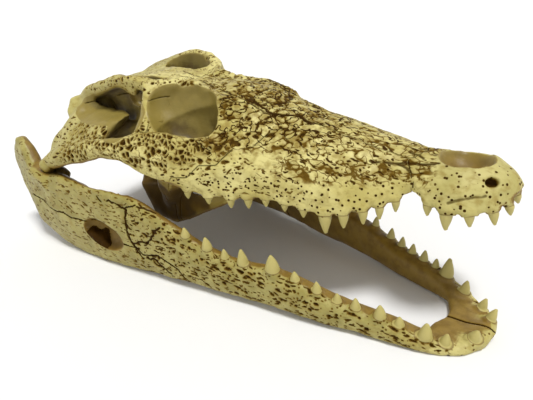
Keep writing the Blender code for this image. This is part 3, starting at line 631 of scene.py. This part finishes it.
def weights_of(table, measures, outer):
    """The weight of every region at each point of the outer face."""
    weights = {}
    for name, limits in table.items():
        weights[name] = outer.copy()
        for measure, low, high in limits:
            weights[name] *= ease(measures[measure], low, high)
    return weights


print(len(UPPER_REGIONS), "regions above and", len(LOWER_REGIONS), "below")

# %% [markdown]
# ## Which faces count as outer
# Inside the mouth and in the deep windows the bone stays smooth and brown; that brown is partly
# the bone's own colour and partly painted shade. A face is taken as outer when it lies open to the
# sky and looks up or sideways. That is safer than a hand-made list of faces, because it still holds
# when a bone's shape changes.

# %% Tell outer faces from inner ones
HOLLOW_RIM = 1.07
HOLLOW_FADE = 0.05


def hollow_share(points, hollows, limit):
    """1 in the hollows, fading to 0 at their rims."""
    share = np.zeros(len(points))
    for heart, half in each_hollow(hollows):
        reach = np.linalg.norm((points - heart) / half, axis=1)
        share = np.maximum(share, ease(reach, limit, limit - HOLLOW_FADE))
    return share


def outer_of_skull(places, normals, free):
    """Faces of the upper skull that look up or sideways and lie open, outside the hollows."""
    up = ease(normals[:, 2], -0.15, 0.25)
    sideways = ease(np.abs(normals[:, 1]), 0.35, 0.7) * ease(normals[:, 2], -0.75, -0.4)
    outer = ease(free, 0.38, 0.62) * np.maximum(up, sideways)
    outer *= 1.0 - hollow_share(places, UPPER_HOLLOWS, HOLLOW_RIM)
    return outer * (1.0 - hollow_share(places, UPPER_SHADES, 1.0))


def outer_of_jaw(places, normals, free):
    """The outer face of the jaw with its chin, and the chin alone."""
    outward = np.sign(places[:, 1]) * normals[:, 1]
    outer = ease(free, 0.30, 0.55) * ease(outward, 0.0, 0.35)
    chin = ease(places[:, 0], 405, 422) * ease(free, 0.3, 0.55) * ease(normals[:, 0], 0.1, 0.5)
    windows = hollow_share(places, LOWER_HOLLOWS, HOLLOW_RIM)
    return np.maximum(outer, chin) * (1.0 - windows), chin


# %% [markdown]
# ## Pressing the patterns in
# A pattern is laid on places that are first pushed about a little, so that it looks grown, and
# stretched, so that it runs along the snout. On the face it is slanted too, as the ridges there
# run down and forward. A row of the table is one pattern; its depth is in millimetres.

# %% Which pattern goes where, how large and how deep
# Region, share, pattern, ground, stretch, sizes and seed, fade from edge to floor, depth.
UPPER_PATTERNS = (
    ("bar", "patchy", comb, "grown", (0.85, 1, 0.8), (4.4, 21), (0.08, 0.42), 1.9),
    ("under", 0.8, spots, "slanted", (0.34, 1, 1), (3.4, 0.40, 0.6, 25), (0.0, 0.8), 0.9),
    ("brow", 0.8, valleys, "slanted", (0.6, 1, 1), (6.0, 0.24, 31), None, 1.4),
    ("brow", 1.0, spots, "slanted", (0.7, 1, 1), (4.2, 0.42, 0.6, 33), (0.0, 0.9), 1.3),
    ("snout", "off_brow", valleys, "grown", (0.35, 1, 1), (5.0, 0.17, 41), None, 1.0),
    ("snout", "snout_side", spots, "grown", (0.6, 1, 1), (3.6, 0.36, 0.4, 43), (0.0, 1.0), 1.3),
    ("roof", "roof_side", spots, "grown", (1, 1, 1), (4.0, 0.42, 0.8, 51), (0.0, 0.8), 1.2),
    ("between", 1.0, spots, "slanted", (0.5, 1, 1), (3.8, 0.45, 0.8, 61), (0.0, 0.8), 1.1),
    ("rear", 1.0, spots, "grown", (0.3, 1, 1), (3.4, 0.35, 0.5, 91), (0.0, 0.8), 0.7),
)
LOWER_PATTERNS = (
    ("front", 1.0, spots, "grown", (0.3, 1, 1), (3.2, 0.42, 0.6, 121), (0.0, 0.8), 1.0),
    ("front", 1.0, spots, "grown", (0.7, 1, 1), (4.0, 0.38, 0.6, 131), (0.0, 0.8), 1.2),
    ("rear", 0.7, spots, "grown", (0.2, 1, 1), (2.8, 0.40, 0.45, 141), (0.0, 0.8), 0.7),
)
FAINT = 0.02


def masked(weight, function, points, *sizes):
    """Run a pattern only where its weight counts."""
    result = np.zeros(len(weight))
    chosen = weight > FAINT
    if chosen.any():
        result[chosen] = function(points[chosen], *sizes)
    return result


def carve(layers, weight, pattern, depth):
    """Press a pattern into the height and note it among the pits."""
    amount = weight * pattern
    layers["height"] -= depth * amount
    np.maximum(layers["pit"], amount, out=layers["pit"])


def press_in(layers, table, weights, shares, grounds):
    """Cut every pattern of a table into its region."""
    for region, share, pattern, ground, stretch, sizes, fade, depth in table:
        amount = masked(weights[region], pattern, grounds[ground] * stretch, *sizes)
        if fade:
            amount = ease(amount, *fade)
        carve(layers, shares.get(share, share) * weights[region], amount, depth)


print(len(UPPER_PATTERNS) + len(LOWER_PATTERNS), "patterns")

# %% [markdown]
# ## Marks finer than the mesh
# The smallest dots, dashes and hairlines of the cast are thinner than the mesh can carry. The
# material draws them later. Here each region only says how many of each kind it has.

# %% How densely each region carries the fine marks
UPPER_FINE = {
    "dots": {"holes": 1.0, "roof": 0.5, "under": 0.4},
    "dash": {"under": 0.9, "snout": 0.85, "between": 0.7, "rear": 0.6, "roof": 0.4},
    "worm": {"brow": 1.0, "snout": 0.55, "between": 0.6, "bar": 0.4},
}
LOWER_FINE = {
    "dots": {"front": 0.5, "chin": 0.6},
    "dash": {"front": 0.75, "rear": 0.5},
    "worm": {"front": 0.2},
}


def fine_shares(table, weights):
    """For each kind of mark, how densely it covers every point."""
    return {kind: sum(share * weights[region] for region, share in parts.items())
            for kind, parts in table.items()}


# %% [markdown]
# ## The sculpture of the upper skull
# All of it comes together here: wide soft waves that take the stiffness out of the solid's
# faces, the patterns of every region, the two oval pits in front of the nostrils and the lines.

# %% Height and marks of the upper skull
SLANT = np.array(((0.82, -0.35, -0.45), (0.40, 0.92, 0.02), (0.41, -0.20, 0.89)))
UPPER_BENDS = ((11.0, 2.6, 11), (4.0, 0.9, 15))
PATCHES = (7.0, 23)
UPPER_WAVES = ((1.0, 26.0, 5), (0.6, 9.0, 6))
OUTER_WAVE = (0.3, 4.5, 7)
NOSE_PIT, NOSE_PIT_HALF, NOSE_PIT_DEPTH = (418.5, -14.5, 25.5), (5.2, 5.2, 3.6), 4.0


def waves_of(places, rows):
    """Soft waves; each row holds their height, their width and a seed."""
    return sum(height * ripple(places, width, seed) for height, width, seed in rows)


def pushed_about(places, rows):
    """Places pushed about by waves; each row holds the waves' width, their push and a seed."""
    for width, push, seed in rows:
        places = warped(places, width, push, seed)
    return places


def nose_pits(places):
    """Two oval pits in front of the nostrils."""
    share = np.zeros(len(places))
    for side in (1.0, -1.0):
        gap = (places - np.array(NOSE_PIT) * (1.0, side, 1.0)) / NOSE_PIT_HALF
        share = np.maximum(share, ease(np.linalg.norm(gap, axis=1), 1.05, 0.45))
    return share


def upper_sculpture(places, normals, free):
    """Height in millimetres and every mark, for points in the skull's frame."""
    outer = outer_of_skull(places, normals, free)
    measures = measures_of(places)
    x, side = measures["x"], measures["side"]
    weights = weights_of(UPPER_REGIONS, measures, outer)
    weights["under"] *= 1.0 - UNDER_BAR * weights["bar"]
    weights["holes"] = np.maximum(weights["holes"], NOSE_HOLES * weights["nose"])
    grown = pushed_about(places, UPPER_BENDS)
    shares = {"patchy": ease(masked(weights["bar"], ripple, places, *PATCHES), -0.6, -0.1),
              "off_brow": 0.65 * (1.0 - 0.6 * weights["brow"]),
              "snout_side": 0.85 * ease(side, 18, 26),
              "roof_side": 0.35 + 0.65 * ease(side, 24, 34)}
    layers = {"height": waves_of(places, UPPER_WAVES), "pit": np.zeros(len(places))}
    layers["height"] += outer * waves_of(places, (OUTER_WAVE,))
    press_in(layers, UPPER_PATTERNS, weights, shares, {"grown": grown, "slanted": grown @ SLANT})
    carve(layers, 1.0, nose_pits(places), NOSE_PIT_DEPTH)
    layers.update(fine_shares(UPPER_FINE, weights))
    layers["stain"] = 0.6 * ease(x, 115, 60) + 0.5 * ease(x, 376, 392)
    return layers, outer, drawn_lines(places, UPPER_LINES)


# %% [markdown]
# ## The sculpture of the lower jaw
# The jaw is plainer: furrows and pits in front of its window, faint dashes behind it, and a fine
# grain along its whole length, as of wood.

# %% Height and marks of the lower jaw
LOWER_BENDS = ((11.0, 2.4, 111), (4.0, 0.8, 115))
LOWER_WAVES = ((0.8, 28.0, 105), (0.35, 9.0, 106))
GRAIN_DEPTH, GRAIN_STRETCH, GRAIN_WIDTH, GRAIN_SEED = 0.25, (0.1, 1, 1), 1.7, 107


def lower_sculpture(places, normals, free):
    """Height in millimetres and every mark, for points in the jaw's frame."""
    outer, chin = outer_of_jaw(places, normals, free)
    weights = weights_of(LOWER_REGIONS, measures_of(places), outer)
    weights["chin"] = chin
    grown = pushed_about(places, LOWER_BENDS)
    grain = masked(outer, ripple, places * GRAIN_STRETCH, GRAIN_WIDTH, GRAIN_SEED)
    layers = {"height": waves_of(places, LOWER_WAVES) - GRAIN_DEPTH * outer * grain,
              "pit": np.zeros(len(places))}
    press_in(layers, LOWER_PATTERNS, weights, {}, {"grown": grown})
    layers.update(fine_shares(LOWER_FINE, weights))
    layers["stain"] = 0.88 - 0.5 * ease(places[:, 0], 370, 410)
    return layers, outer, drawn_lines(places, LOWER_LINES)


# %% [markdown]
# ## Where the teeth and their collars are
# A tooth is glossy and smooth, and the bone rises round it in a low ring. After the remesh a
# tooth and its bone are one mesh, so distance from the tooth's axis tells them apart.

# %% Tell teeth and collars from bone
TOOTH_REACH = 1.35
TOOTH_TAPER = 0.6
TOOTH_OUTSIDE, TOOTH_INSIDE = 0.6, 0.2
GUM_LEVELS = (0.02, 0.22)
COLLAR_WIDTH, COLLAR_HEIGHT = 3.2, 0.9
COLLAR_TOP = 0.3


def tooth_share(points, rows):
    """1 on a tooth's crown and 0 away from the teeth, with how far up the crown a point is."""
    share = np.zeros(len(points))
    for row in rows:
        foot, tip, radius = np.array(row[:3]), np.array(row[3:6]), row[6]
        axis = tip - foot
        along = (points - foot) @ axis / (axis @ axis)
        gap = np.linalg.norm(points - foot - np.clip(along, -0.1, 1.1)[:, None] * axis, axis=1)
        limit = radius * TOOTH_REACH * np.clip(1.15 - TOOTH_TAPER * along, 0.5, 1.1)
        close = ease(-gap, -limit - TOOTH_OUTSIDE, -limit + TOOTH_INSIDE)
        share = np.maximum(share, close * ease(along, *GUM_LEVELS))
    return share


def collar_share(points, rows):
    """The low ring of bone that stands round each tooth."""
    share = np.zeros(len(points))
    for row in rows:
        gap = np.linalg.norm(points - row[:3], axis=1) - row[6]
        share = np.maximum(share, ease(gap, COLLAR_WIDTH, COLLAR_TOP))
    return share


# %% [markdown]
# ## Laying a bone on the skin
# A Shrinkwrap modifier could pull the bone onto the skin, but it would also pull in the faces
# inside a suture. So each point looks for its nearest place on the skin and is taken along only
# when that place is near and faces the same way. The others are inside a suture.

# %% Find each point's place on the skin
SKIN_REACH = 0.0045
SAME_WAY = 0.45


def lay_on_skin(places, normals, skin):
    """For each point: the way to the skin, the skin's normal and openness, and if it is outside."""
    way = np.zeros((len(places), 3))
    face = np.zeros(len(places), np.int64)
    for i, place in enumerate(places.tolist()):
        way[i], _, face[i], _ = skin["tree"].find_nearest(Vector(place))
    way -= places
    corners = skin["faces"][face]
    free = skin["open"][corners].mean(axis=1)
    smooth = skin["normals"][corners].mean(axis=1)
    smooth /= np.linalg.norm(smooth, axis=1)[:, None]
    near = np.linalg.norm(way, axis=1) < SKIN_REACH
    outside = near & ((smooth * normals).sum(axis=1) > SAME_WAY)
    return way, smooth, free, outside


# %% [markdown]
# ## Sutures between the bones
# The gap between two bones is real and very thin. The edge beside it sinks in a little and turns
# dark, as glue and dust make it on an old skull. The lower jaw's sutures show most.

# %% Darken and sink the edges beside a gap
SEAM_DEPTH = 0.55
SEAM_ROUNDS = 3
LINE_DEPTH = 0.8
JAW_SEAM, PREMAXILLA_SEAM, FACE_SEAM = 1.0, 0.75, 0.4


def seam_force(bone):
    """How dark the gap around a bone is drawn."""
    if bone in LOWER_BONES:
        return JAW_SEAM
    return PREMAXILLA_SEAM if bone == "premaxilla" else FACE_SEAM


def seam_share(inner, edges):
    """1 inside a suture, fading over the nearest points of the outer face."""
    share = inner.astype(float)
    for _ in range(SEAM_ROUNDS):
        share = np.maximum(inner, neighbour_mean(share, edges))
    return share


# %% [markdown]
# ## From solid to bone
# Every bone goes the same way. Its copy takes in its teeth, is remeshed to a fine even grid, and
# its outer face is laid on the soft skin. The faces inside a suture stay where they are, and
# what lies between follows smoothly. Then the sculpture is pressed in, along the skin's normals.
# Subdividing would keep the solid's long thin triangles, and the pits would come out ragged;
# the voxel remesh gives even faces that carry a pit in any direction.

# %% Remesh a bone with its teeth
FINE_VOXEL = 0.00086
OTHER_VOXELS = {"frontal": 0.00100, "braincase": 0.0014, "pterygoid": 0.0011, "nasals": 0.0008,
                "premaxilla": 0.00068, "jugal": 0.0007, "dentary": 0.0008}


def remeshed(bone, rows):
    """A copy of the bone and its teeth as one even mesh."""
    piece = copy_of(bone)
    if rows:
        teeth = [place_tooth(row, number) for number, row in enumerate(rows)]
        piece = join_all([piece] + teeth)
    voxel = OTHER_VOXELS.get(bone.split("_")[0], FINE_VOXEL)
    finish_with(piece, "REMESH", mode="VOXEL", voxel_size=voxel)
    return piece


# %% Move the points, and keep every mark on the mesh for the material
FOLLOW_ROUNDS = 14
HALO_ROUNDS = 9


def pulled_along(move, inner, edges):
    """Points inside a suture follow the edge of the moved outer face."""
    move[inner] = 0.0
    for _ in range(FOLLOW_ROUNDS):
        move[inner] = neighbour_mean(move, edges)[inner]
    return move


def halo_of(pits, edges):
    """A soft blur of the pits' depth, which tints the bone round them with straw."""
    for _ in range(HALO_ROUNDS):
        pits = neighbour_mean(pits, edges)
    return pits


def write_marks(mesh, marks):
    """Each mark becomes an attribute that the material can read."""
    for name, values in marks.items():
        layer = mesh.attributes.new(name, "FLOAT", "POINT")
        layer.data.foreach_set("value", values.astype(np.float32))


# %% Finish one bone
def finish_bone(bone, skin, frame_of, axes, sculpture):
    """Remesh one bone, lay it on the skin, press its sculpture in and note its marks."""
    rows = teeth_of(bone)
    piece = remeshed(bone, rows)
    mesh = piece.data
    places, normals, edges = points_of(mesh), normals_of(mesh), edges_of(mesh)
    way, smooth, free, outside = lay_on_skin(places, normals, skin)
    tooth = tooth_share(places / MM, rows)
    layers, outer, lines = sculpture(frame_of(places + np.where(outside[:, None], way, 0.0)),
                                     smooth @ axes, free)
    inner = ~outside & (tooth < 0.5)
    seam, force = seam_share(inner, edges), seam_force(bone)
    height = layers["height"] - force * SEAM_DEPTH * ease(seam, 0.05, 0.6) - LINE_DEPTH * lines
    height = height + COLLAR_HEIGHT * collar_share(places / MM, rows)
    move = way * (1.0 - tooth)[:, None] + smooth * (height * (1.0 - tooth) * MM)[:, None]
    places = np.clip(places + pulled_along(move, inner, edges), BOX_LOW, BOX_HIGH)
    mesh.vertices.foreach_set("co", places.astype(np.float32).ravel())
    marks = {name: layers[name] * outside * (1 - tooth) for name in ("pit", "dots", "dash", "worm")}
    marks.update({"open": free, "tooth": tooth, "outer": outer, "stain": layers["stain"],
                  "seam": np.maximum(force * ease(seam, 0.05, 0.5), lines * outside),
                  "halo": halo_of(layers["pit"] * outside, edges)})
    write_marks(mesh, marks)
    mesh.polygons.foreach_set("use_smooth", np.ones(len(mesh.polygons), bool))
    mesh.update()
    return piece


# %% Finish every bone
def triangles_of(piece):
    return 2 * len(piece.data.polygons)


bones = []
for bone in UPPER_BONES + LOWER_BONES:
    if bone in UPPER_BONES:
        piece = finish_bone(bone, upper_skin, in_skull, SKULL_AXES, upper_sculpture)
    else:
        piece = finish_bone(bone, lower_skin, in_jaw, JAW_AXES, lower_sculpture)
    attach(piece, "root")
    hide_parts(bone)
    bones.append(piece)
    print(piece.name, triangles_of(piece), "triangles")
bpy.data.objects.remove(pattern_tooth, do_unlink=True)
print("all bones:", sum(triangles_of(piece) for piece in bones), "triangles")

# %% [markdown]
# ## The colour of old bone
# The bone is cream, a little yellow-green. Its sutures are dark, and painted shade lies brown in
# every pit and hollow. The measured marks on the mesh say where: pit, open, seam and tooth.
# A node material reads them and adds the fine variation that the mesh can't carry.

# %% The colours, from the palest bone to the bottom of the pits
PALE = (0.66, 0.585, 0.225, 1.0)
CREAM = (0.47, 0.395, 0.11, 1.0)
OLIVE = (0.25, 0.213, 0.043, 1.0)
STRAW = (0.29, 0.207, 0.034, 1.0)
SAND = (0.30, 0.245, 0.055, 1.0)
# AMBER, OCHRE, BROWN and UMBER serve partly as painted shade: in the pits, the hollows and on inner
# faces.
AMBER = (0.25, 0.150, 0.019, 1.0)
OCHRE = (0.145, 0.082, 0.009, 1.0)
BROWN = (0.070, 0.038, 0.005, 1.0)
UMBER = (0.040, 0.018, 0.002, 1.0)
IVORY = (0.47, 0.40, 0.13, 1.0)

# %% [markdown]
# ## Short names for shader nodes
# In the shader editor each of these would be one node drawn in by hand. Each helper adds its
# node, plugs in what it is given and hands back the output.

# %% Helpers for shader nodes
def plug(tree, socket, value):
    """Link an output to a socket, or set a plain value on it."""
    if isinstance(value, bpy.types.NodeSocket):
        tree.links.new(value, socket)
    else:
        socket.default_value = value


def mark(tree, name):
    made = tree.nodes.new("ShaderNodeAttribute")
    made.attribute_name = name
    return made.outputs["Fac"]


def blend_colours(tree, factor, first, second):
    made = tree.nodes.new("ShaderNodeMix")
    made.data_type = "RGBA"
    for number, value in ((0, factor), (6, first), (7, second)):
        plug(tree, made.inputs[number], value)
    return made.outputs[2]


def remap(tree, value, low, high, to_low=0.0, to_high=1.0):
    made = tree.nodes.new("ShaderNodeMapRange")
    made.interpolation_type = "SMOOTHSTEP"
    tree.links.new(value, made.inputs["Value"])
    made.inputs["From Min"].default_value = low
    made.inputs["From Max"].default_value = high
    made.inputs["To Min"].default_value = to_low
    made.inputs["To Max"].default_value = to_high
    return made.outputs["Result"]


def noise(tree, place, scale, detail=4.0, stretch=None):
    made = tree.nodes.new("ShaderNodeTexNoise")
    made.inputs["Scale"].default_value = scale
    made.inputs["Detail"].default_value = detail
    if stretch:
        turn = tree.nodes.new("ShaderNodeMapping")
        turn.inputs["Scale"].default_value = stretch
        tree.links.new(place, turn.inputs["Vector"])
        place = turn.outputs["Vector"]
    tree.links.new(place, made.inputs["Vector"])
    return made.outputs["Fac"]


def math_node(tree, kind, first, second):
    made = tree.nodes.new("ShaderNodeMath")
    made.operation = kind
    for socket, value in zip(made.inputs, (first, second)):
        plug(tree, socket, value)
    return made.outputs[0]


def product(tree, first, second):
    return math_node(tree, "MULTIPLY", first, second)


def vector_node(tree, kind, first, second):
    made = tree.nodes.new("ShaderNodeVectorMath")
    made.operation = kind
    for socket, value in zip(made.inputs, (first, second)):
        plug(tree, socket, value)
    return made.outputs["Vector"]


# %% [markdown]
# ## Dots, dashes and hairlines
# The finest marks are a pattern in the material. Dots and dashes sit in the cells of a Voronoi
# texture; hairlines run where a noise crosses its middle value. The mesh says how much of each
# kind a place has.

# %% Fine marks in the material
def bent_place(tree, place, scale, swing):
    """Coordinates pushed about by noise, so that marks laid on them wind."""
    source = tree.nodes.new("ShaderNodeTexNoise")
    source.inputs["Scale"].default_value = scale
    tree.links.new(place, source.inputs["Vector"])
    push = vector_node(tree, "SUBTRACT", source.outputs["Color"], (0.5, 0.5, 0.5))
    push = vector_node(tree, "MULTIPLY", push, (swing, swing, swing))
    return vector_node(tree, "ADD", place, push)


def cell_marks(tree, place, scale, stretch, reach):
    """Small marks in the middle of random cells, round or drawn out."""
    made = tree.nodes.new("ShaderNodeTexVoronoi")
    made.inputs["Scale"].default_value = scale
    tree.links.new(vector_node(tree, "MULTIPLY", place, stretch), made.inputs["Vector"])
    return remap(tree, made.outputs["Distance"], reach, 0.55 * reach)


def hairlines(tree, place):
    """Thin lines where a noise crosses its middle value."""
    waves = noise(tree, place, 130.0, 2.0, (0.6, 1.0, 1.0))
    waves = math_node(tree, "ABSOLUTE", math_node(tree, "SUBTRACT", waves, 0.5), 0.0)
    return remap(tree, waves, 0.035, 0.010)


def fine_marks(tree, place):
    """Dots, dashes and winding hairlines finer than the mesh; their share comes from it."""
    bent = bent_place(tree, place, 90.0, 0.008)
    patterns = {"dots": cell_marks(tree, place, 250.0, (1.0, 1.0, 1.0), 0.30),
                "dash": cell_marks(tree, bent, 310.0, (0.27, 1.0, 1.0), 0.35),
                "worm": hairlines(tree, bent)}
    shares = [product(tree, pattern, mark(tree, name)) for name, pattern in patterns.items()]
    total = math_node(tree, "MAXIMUM", shares[0], shares[1])
    return math_node(tree, "MAXIMUM", total, shares[2])


# %% [markdown]
# ## Layers of colour
# Thin coats lie over a pale ground: stains and grain first, then the brown of the hollows, which is
# painted shade, and the darkest colour last, in the pits, painted shade as well. The layers below
# follow that order.
# Each is a share and a tint, and is mixed over what is there.

# %% Stains and grain on the open faces, and painted shade where a place sees little sky
def open_layers(tree, waves):
    stain = remap(tree, waves["patch"], 0.8, 1.15, 0.7, 1.0)
    worm = remap(tree, mark(tree, "worm"), 0.1, 1.0, 0.0, 0.8)
    painted_shade = product(tree, remap(tree, mark(tree, "open"), 0.95, 0.45), waves["patch"])
    return [
        (product(tree, mark(tree, "stain"), stain), OLIVE),
        (remap(tree, waves["grain"], 0.50, 0.75, 0.0, 0.45), STRAW),
        (remap(tree, waves["mottle"], 0.48, 0.75, 0.0, 0.7), STRAW),
        (product(tree, worm, remap(tree, waves["mottle"], 0.38, 0.62)), STRAW),
        (remap(tree, mark(tree, "halo"), 0.06, 0.55, 0.0, 0.85), STRAW),
        # Painted shade: the less sky a place sees, the more straw is mixed in.
        (remap(tree, painted_shade, 0.05, 0.7, 0.0, 0.95), STRAW),
    ]


# %% Brown inside the mouth, partly its own colour and partly painted shade; sandier inside the upper hollows
ROOF_LEVELS = (0.108, 0.128)


def inner_layers(tree, place, waves):
    # Inner faces, faces that look down and the recesses get amber: partly the bone's own colour,
    # partly painted shade.
    inside = remap(tree, mark(tree, "outer"), 0.7, 0.05)
    # Painted shade: where less sky reaches, ochre and then brown.
    painted_deep_shade = product(tree, remap(tree, mark(tree, "open"), 0.85, 0.30), waves["patch"])
    axes = tree.nodes.new("ShaderNodeSeparateXYZ")
    tree.links.new(place, axes.inputs["Vector"])
    shares = (
        (0.9, AMBER),
        (remap(tree, waves["mottle"], 0.35, 0.7, 0.1, 0.7), OCHRE),
        (remap(tree, painted_deep_shade, 0.0, 0.5, 0.0, 0.85), OCHRE),
        (remap(tree, axes.outputs["Z"], *ROOF_LEVELS, 0.0, 0.62), SAND),
        (remap(tree, painted_deep_shade, 0.45, 1.1, 0.0, 0.8), BROWN),
    )
    return [(product(tree, inside, share), tint) for share, tint in shares]


# %% Teeth, pits, fine marks and sutures on top
def mark_layers(tree, marks):
    return [
        (remap(tree, marks["tooth"], 0.02, 0.25, 0.0, 0.8), OCHRE),
        (remap(tree, marks["tooth"], 0.25, 0.8), IVORY),
        # The ochre and umber of the pits are painted shade, darker where a pit is deeper.
        (remap(tree, marks["pit"], 0.10, 0.60), OCHRE),
        (remap(tree, marks["pit"], 0.45, 0.95), UMBER),
        (remap(tree, marks["fine"], 0.10, 0.50, 0.0, 0.9), OCHRE),
        (remap(tree, marks["fine"], 0.40, 0.90), UMBER),
        (remap(tree, marks["seam"], 0.10, 0.85), UMBER),
    ]


# %% [markdown]
# ## Gloss and grain
# The bone has a soft sheen that its dark marks lose: painted shade in the pits, the fine marks and
# the sutures. A weak bump gives the grain; all that is deeper is already in the mesh.

# %% Put the material together
BUMP_STRENGTH, BUMP_DISTANCE = 0.8, 0.0006
GRAIN_RISE, MOTTLE_RISE = 0.35, 0.8
BONE_GLOSS, DARK_MARK_GLOSS = 0.4, 0.03


def add_bump(tree, waves, fine, shader):
    rise = math_node(tree, "ADD", product(tree, waves["grain"], GRAIN_RISE),
                     product(tree, waves["mottle"], MOTTLE_RISE))
    bump = tree.nodes.new("ShaderNodeBump")
    bump.inputs["Strength"].default_value = BUMP_STRENGTH
    bump.inputs["Distance"].default_value = BUMP_DISTANCE
    tree.links.new(math_node(tree, "SUBTRACT", rise, fine), bump.inputs["Height"])
    tree.links.new(bump.outputs["Normal"], shader.inputs["Normal"])


def make_bone_finish(name):
    material = bpy.data.materials.new(name)
    material.use_nodes = True
    tree = material.node_tree
    shader = tree.nodes["Principled BSDF"]
    place = tree.nodes.new("ShaderNodeTexCoord").outputs["Object"]
    waves = {"clouds": noise(tree, place, 28.0), "mottle": noise(tree, place, 150.0),
             "grain": noise(tree, place, 420.0, 3.0, (0.35, 1.0, 1.0)),
             "patch": remap(tree, noise(tree, place, 60.0), 0.35, 0.7, 0.75, 1.2)}
    marks = {name: mark(tree, name) for name in ("pit", "tooth", "seam")}
    marks["fine"] = fine_marks(tree, place)
    colour = blend_colours(tree, remap(tree, waves["clouds"], 0.35, 0.62), CREAM, PALE)
    layers = open_layers(tree, waves) + inner_layers(tree, place, waves) + mark_layers(tree, marks)
    for share, tint in layers:
        colour = blend_colours(tree, share, colour, tint)
    plug(tree, shader.inputs["Base Color"], colour)
    plug(tree, shader.inputs["Roughness"], remap(tree, waves["clouds"], 0.3, 0.7, 0.42, 0.58))
    dark = math_node(tree, "MAXIMUM", marks["pit"], marks["fine"])
    dark = math_node(tree, "MAXIMUM", dark, marks["seam"])
    plug(tree, shader.inputs["Specular IOR Level"],
         remap(tree, dark, 0.1, 0.6, BONE_GLOSS, DARK_MARK_GLOSS))
    add_bump(tree, waves, marks["fine"], shader)
    return material


bone_finish = make_bone_finish("old_bone")
for piece in bones:
    piece.data.materials.append(bone_finish)
print("finish", bone_finish.name, "with", len(bone_finish.node_tree.nodes), "nodes")

# %% [markdown]
# ## Floor
# The skull lies on a plain pale floor. A flat plane would end in a grey line behind the skull, so
# the floor is a studio sweep: it stays flat under the skull and rises softly far behind it.

# %% Floor
FLOOR_SIZE = 40.0
FLOOR_STEPS = 80
FLOOR_FLAT = 2.5
FLOOR_RISE = 0.05
FLOOR_COLOUR = (0.84, 0.84, 0.835, 1.0)
FLOOR_ROUGHNESS = 0.9


def pale_finish():
    material = bpy.data.materials.new("pale_floor")
    material.use_nodes = True
    shader = material.node_tree.nodes["Principled BSDF"]
    shader.inputs["Base Color"].default_value = FLOOR_COLOUR
    shader.inputs["Roughness"].default_value = FLOOR_ROUGHNESS
    return material


def make_floor():
    bpy.ops.object.select_all(action="DESELECT")
    bpy.ops.mesh.primitive_grid_add(x_subdivisions=FLOOR_STEPS, y_subdivisions=FLOOR_STEPS,
                                    size=FLOOR_SIZE)
    floor = bpy.context.object
    floor.name = "floor"
    for vertex in floor.data.vertices:
        away = max(0.0, math.hypot(vertex.co.x, vertex.co.y) - FLOOR_FLAT)
        vertex.co.z = FLOOR_RISE * away**2
    floor.data.polygons.foreach_set("use_smooth", [True] * len(floor.data.polygons))
    floor.data.materials.append(pale_finish())
    return floor


floor = make_floor()
print("floor", FLOOR_SIZE, "m across, flat for", FLOOR_FLAT, "m")

# %% [markdown]
# ## Light
# Soft studio light comes from above and a little in front, so the pits show but no shadow is
# hard. A sun lamp with a wide angle gives it evenly over the whole skull, and a pale sky fills in.

# %% Soft light
SUN_FROM = Vector((0.32, -0.08, 1.0))
SUN_STRENGTH = 2.55
SUN_WIDTH = math.radians(14.0)
SKY_COLOUR = (1.0, 0.99, 0.97, 1.0)
SKY_STRENGTH = 0.28


def make_light():
    lamp = bpy.data.objects.new("key", bpy.data.lights.new("key", "SUN"))
    bpy.context.scene.collection.objects.link(lamp)
    lamp.data.energy = SUN_STRENGTH
    lamp.data.angle = SUN_WIDTH
    lamp.location = SUN_FROM
    lamp.rotation_euler = SUN_FROM.to_track_quat("Z", "Y").to_euler()
    world = bpy.data.worlds.new("soft_sky")
    world.use_nodes = True
    background = world.node_tree.nodes["Background"]
    background.inputs["Color"].default_value = SKY_COLOUR
    background.inputs["Strength"].default_value = SKY_STRENGTH
    bpy.context.scene.world = world
    bpy.context.scene.view_settings.view_transform = "Standard"


make_light()
print("sun at strength", SUN_STRENGTH, "over a sky at", SKY_STRENGTH)

# %% [markdown]
# ## Camera
# The camera stands in front of the skull's right side and above it. Its place and turn were
# fitted to the photo's outline, so they are given as numbers and not aimed by eye.

# %% Camera
CAMERA_PLACE = (0.33387, -0.29458, 0.25109)
CAMERA_RIGHT = Vector((0.721919, 0.681643, -0.119149))
CAMERA_UP = Vector((-0.204202, 0.374374, 0.904514))
CAMERA_LENS = 32.42
CAMERA_SHIFT = (0.05084, -0.00938)
CAMERA_NEAR = 0.01


def make_camera():
    camera = bpy.data.objects.new("camera", bpy.data.cameras.new("camera"))
    bpy.context.scene.collection.objects.link(camera)
    back = CAMERA_RIGHT.cross(CAMERA_UP)
    turn = Matrix((CAMERA_RIGHT, CAMERA_UP, back)).transposed().to_4x4()
    camera.matrix_world = Matrix.Translation(CAMERA_PLACE) @ turn
    camera.data.lens = CAMERA_LENS
    camera.data.shift_x, camera.data.shift_y = CAMERA_SHIFT
    camera.data.clip_start = CAMERA_NEAR
    bpy.context.scene.camera = camera


make_camera()
print("lens", CAMERA_LENS, "mm, camera", CAMERA_PLACE[2], "m above the floor")
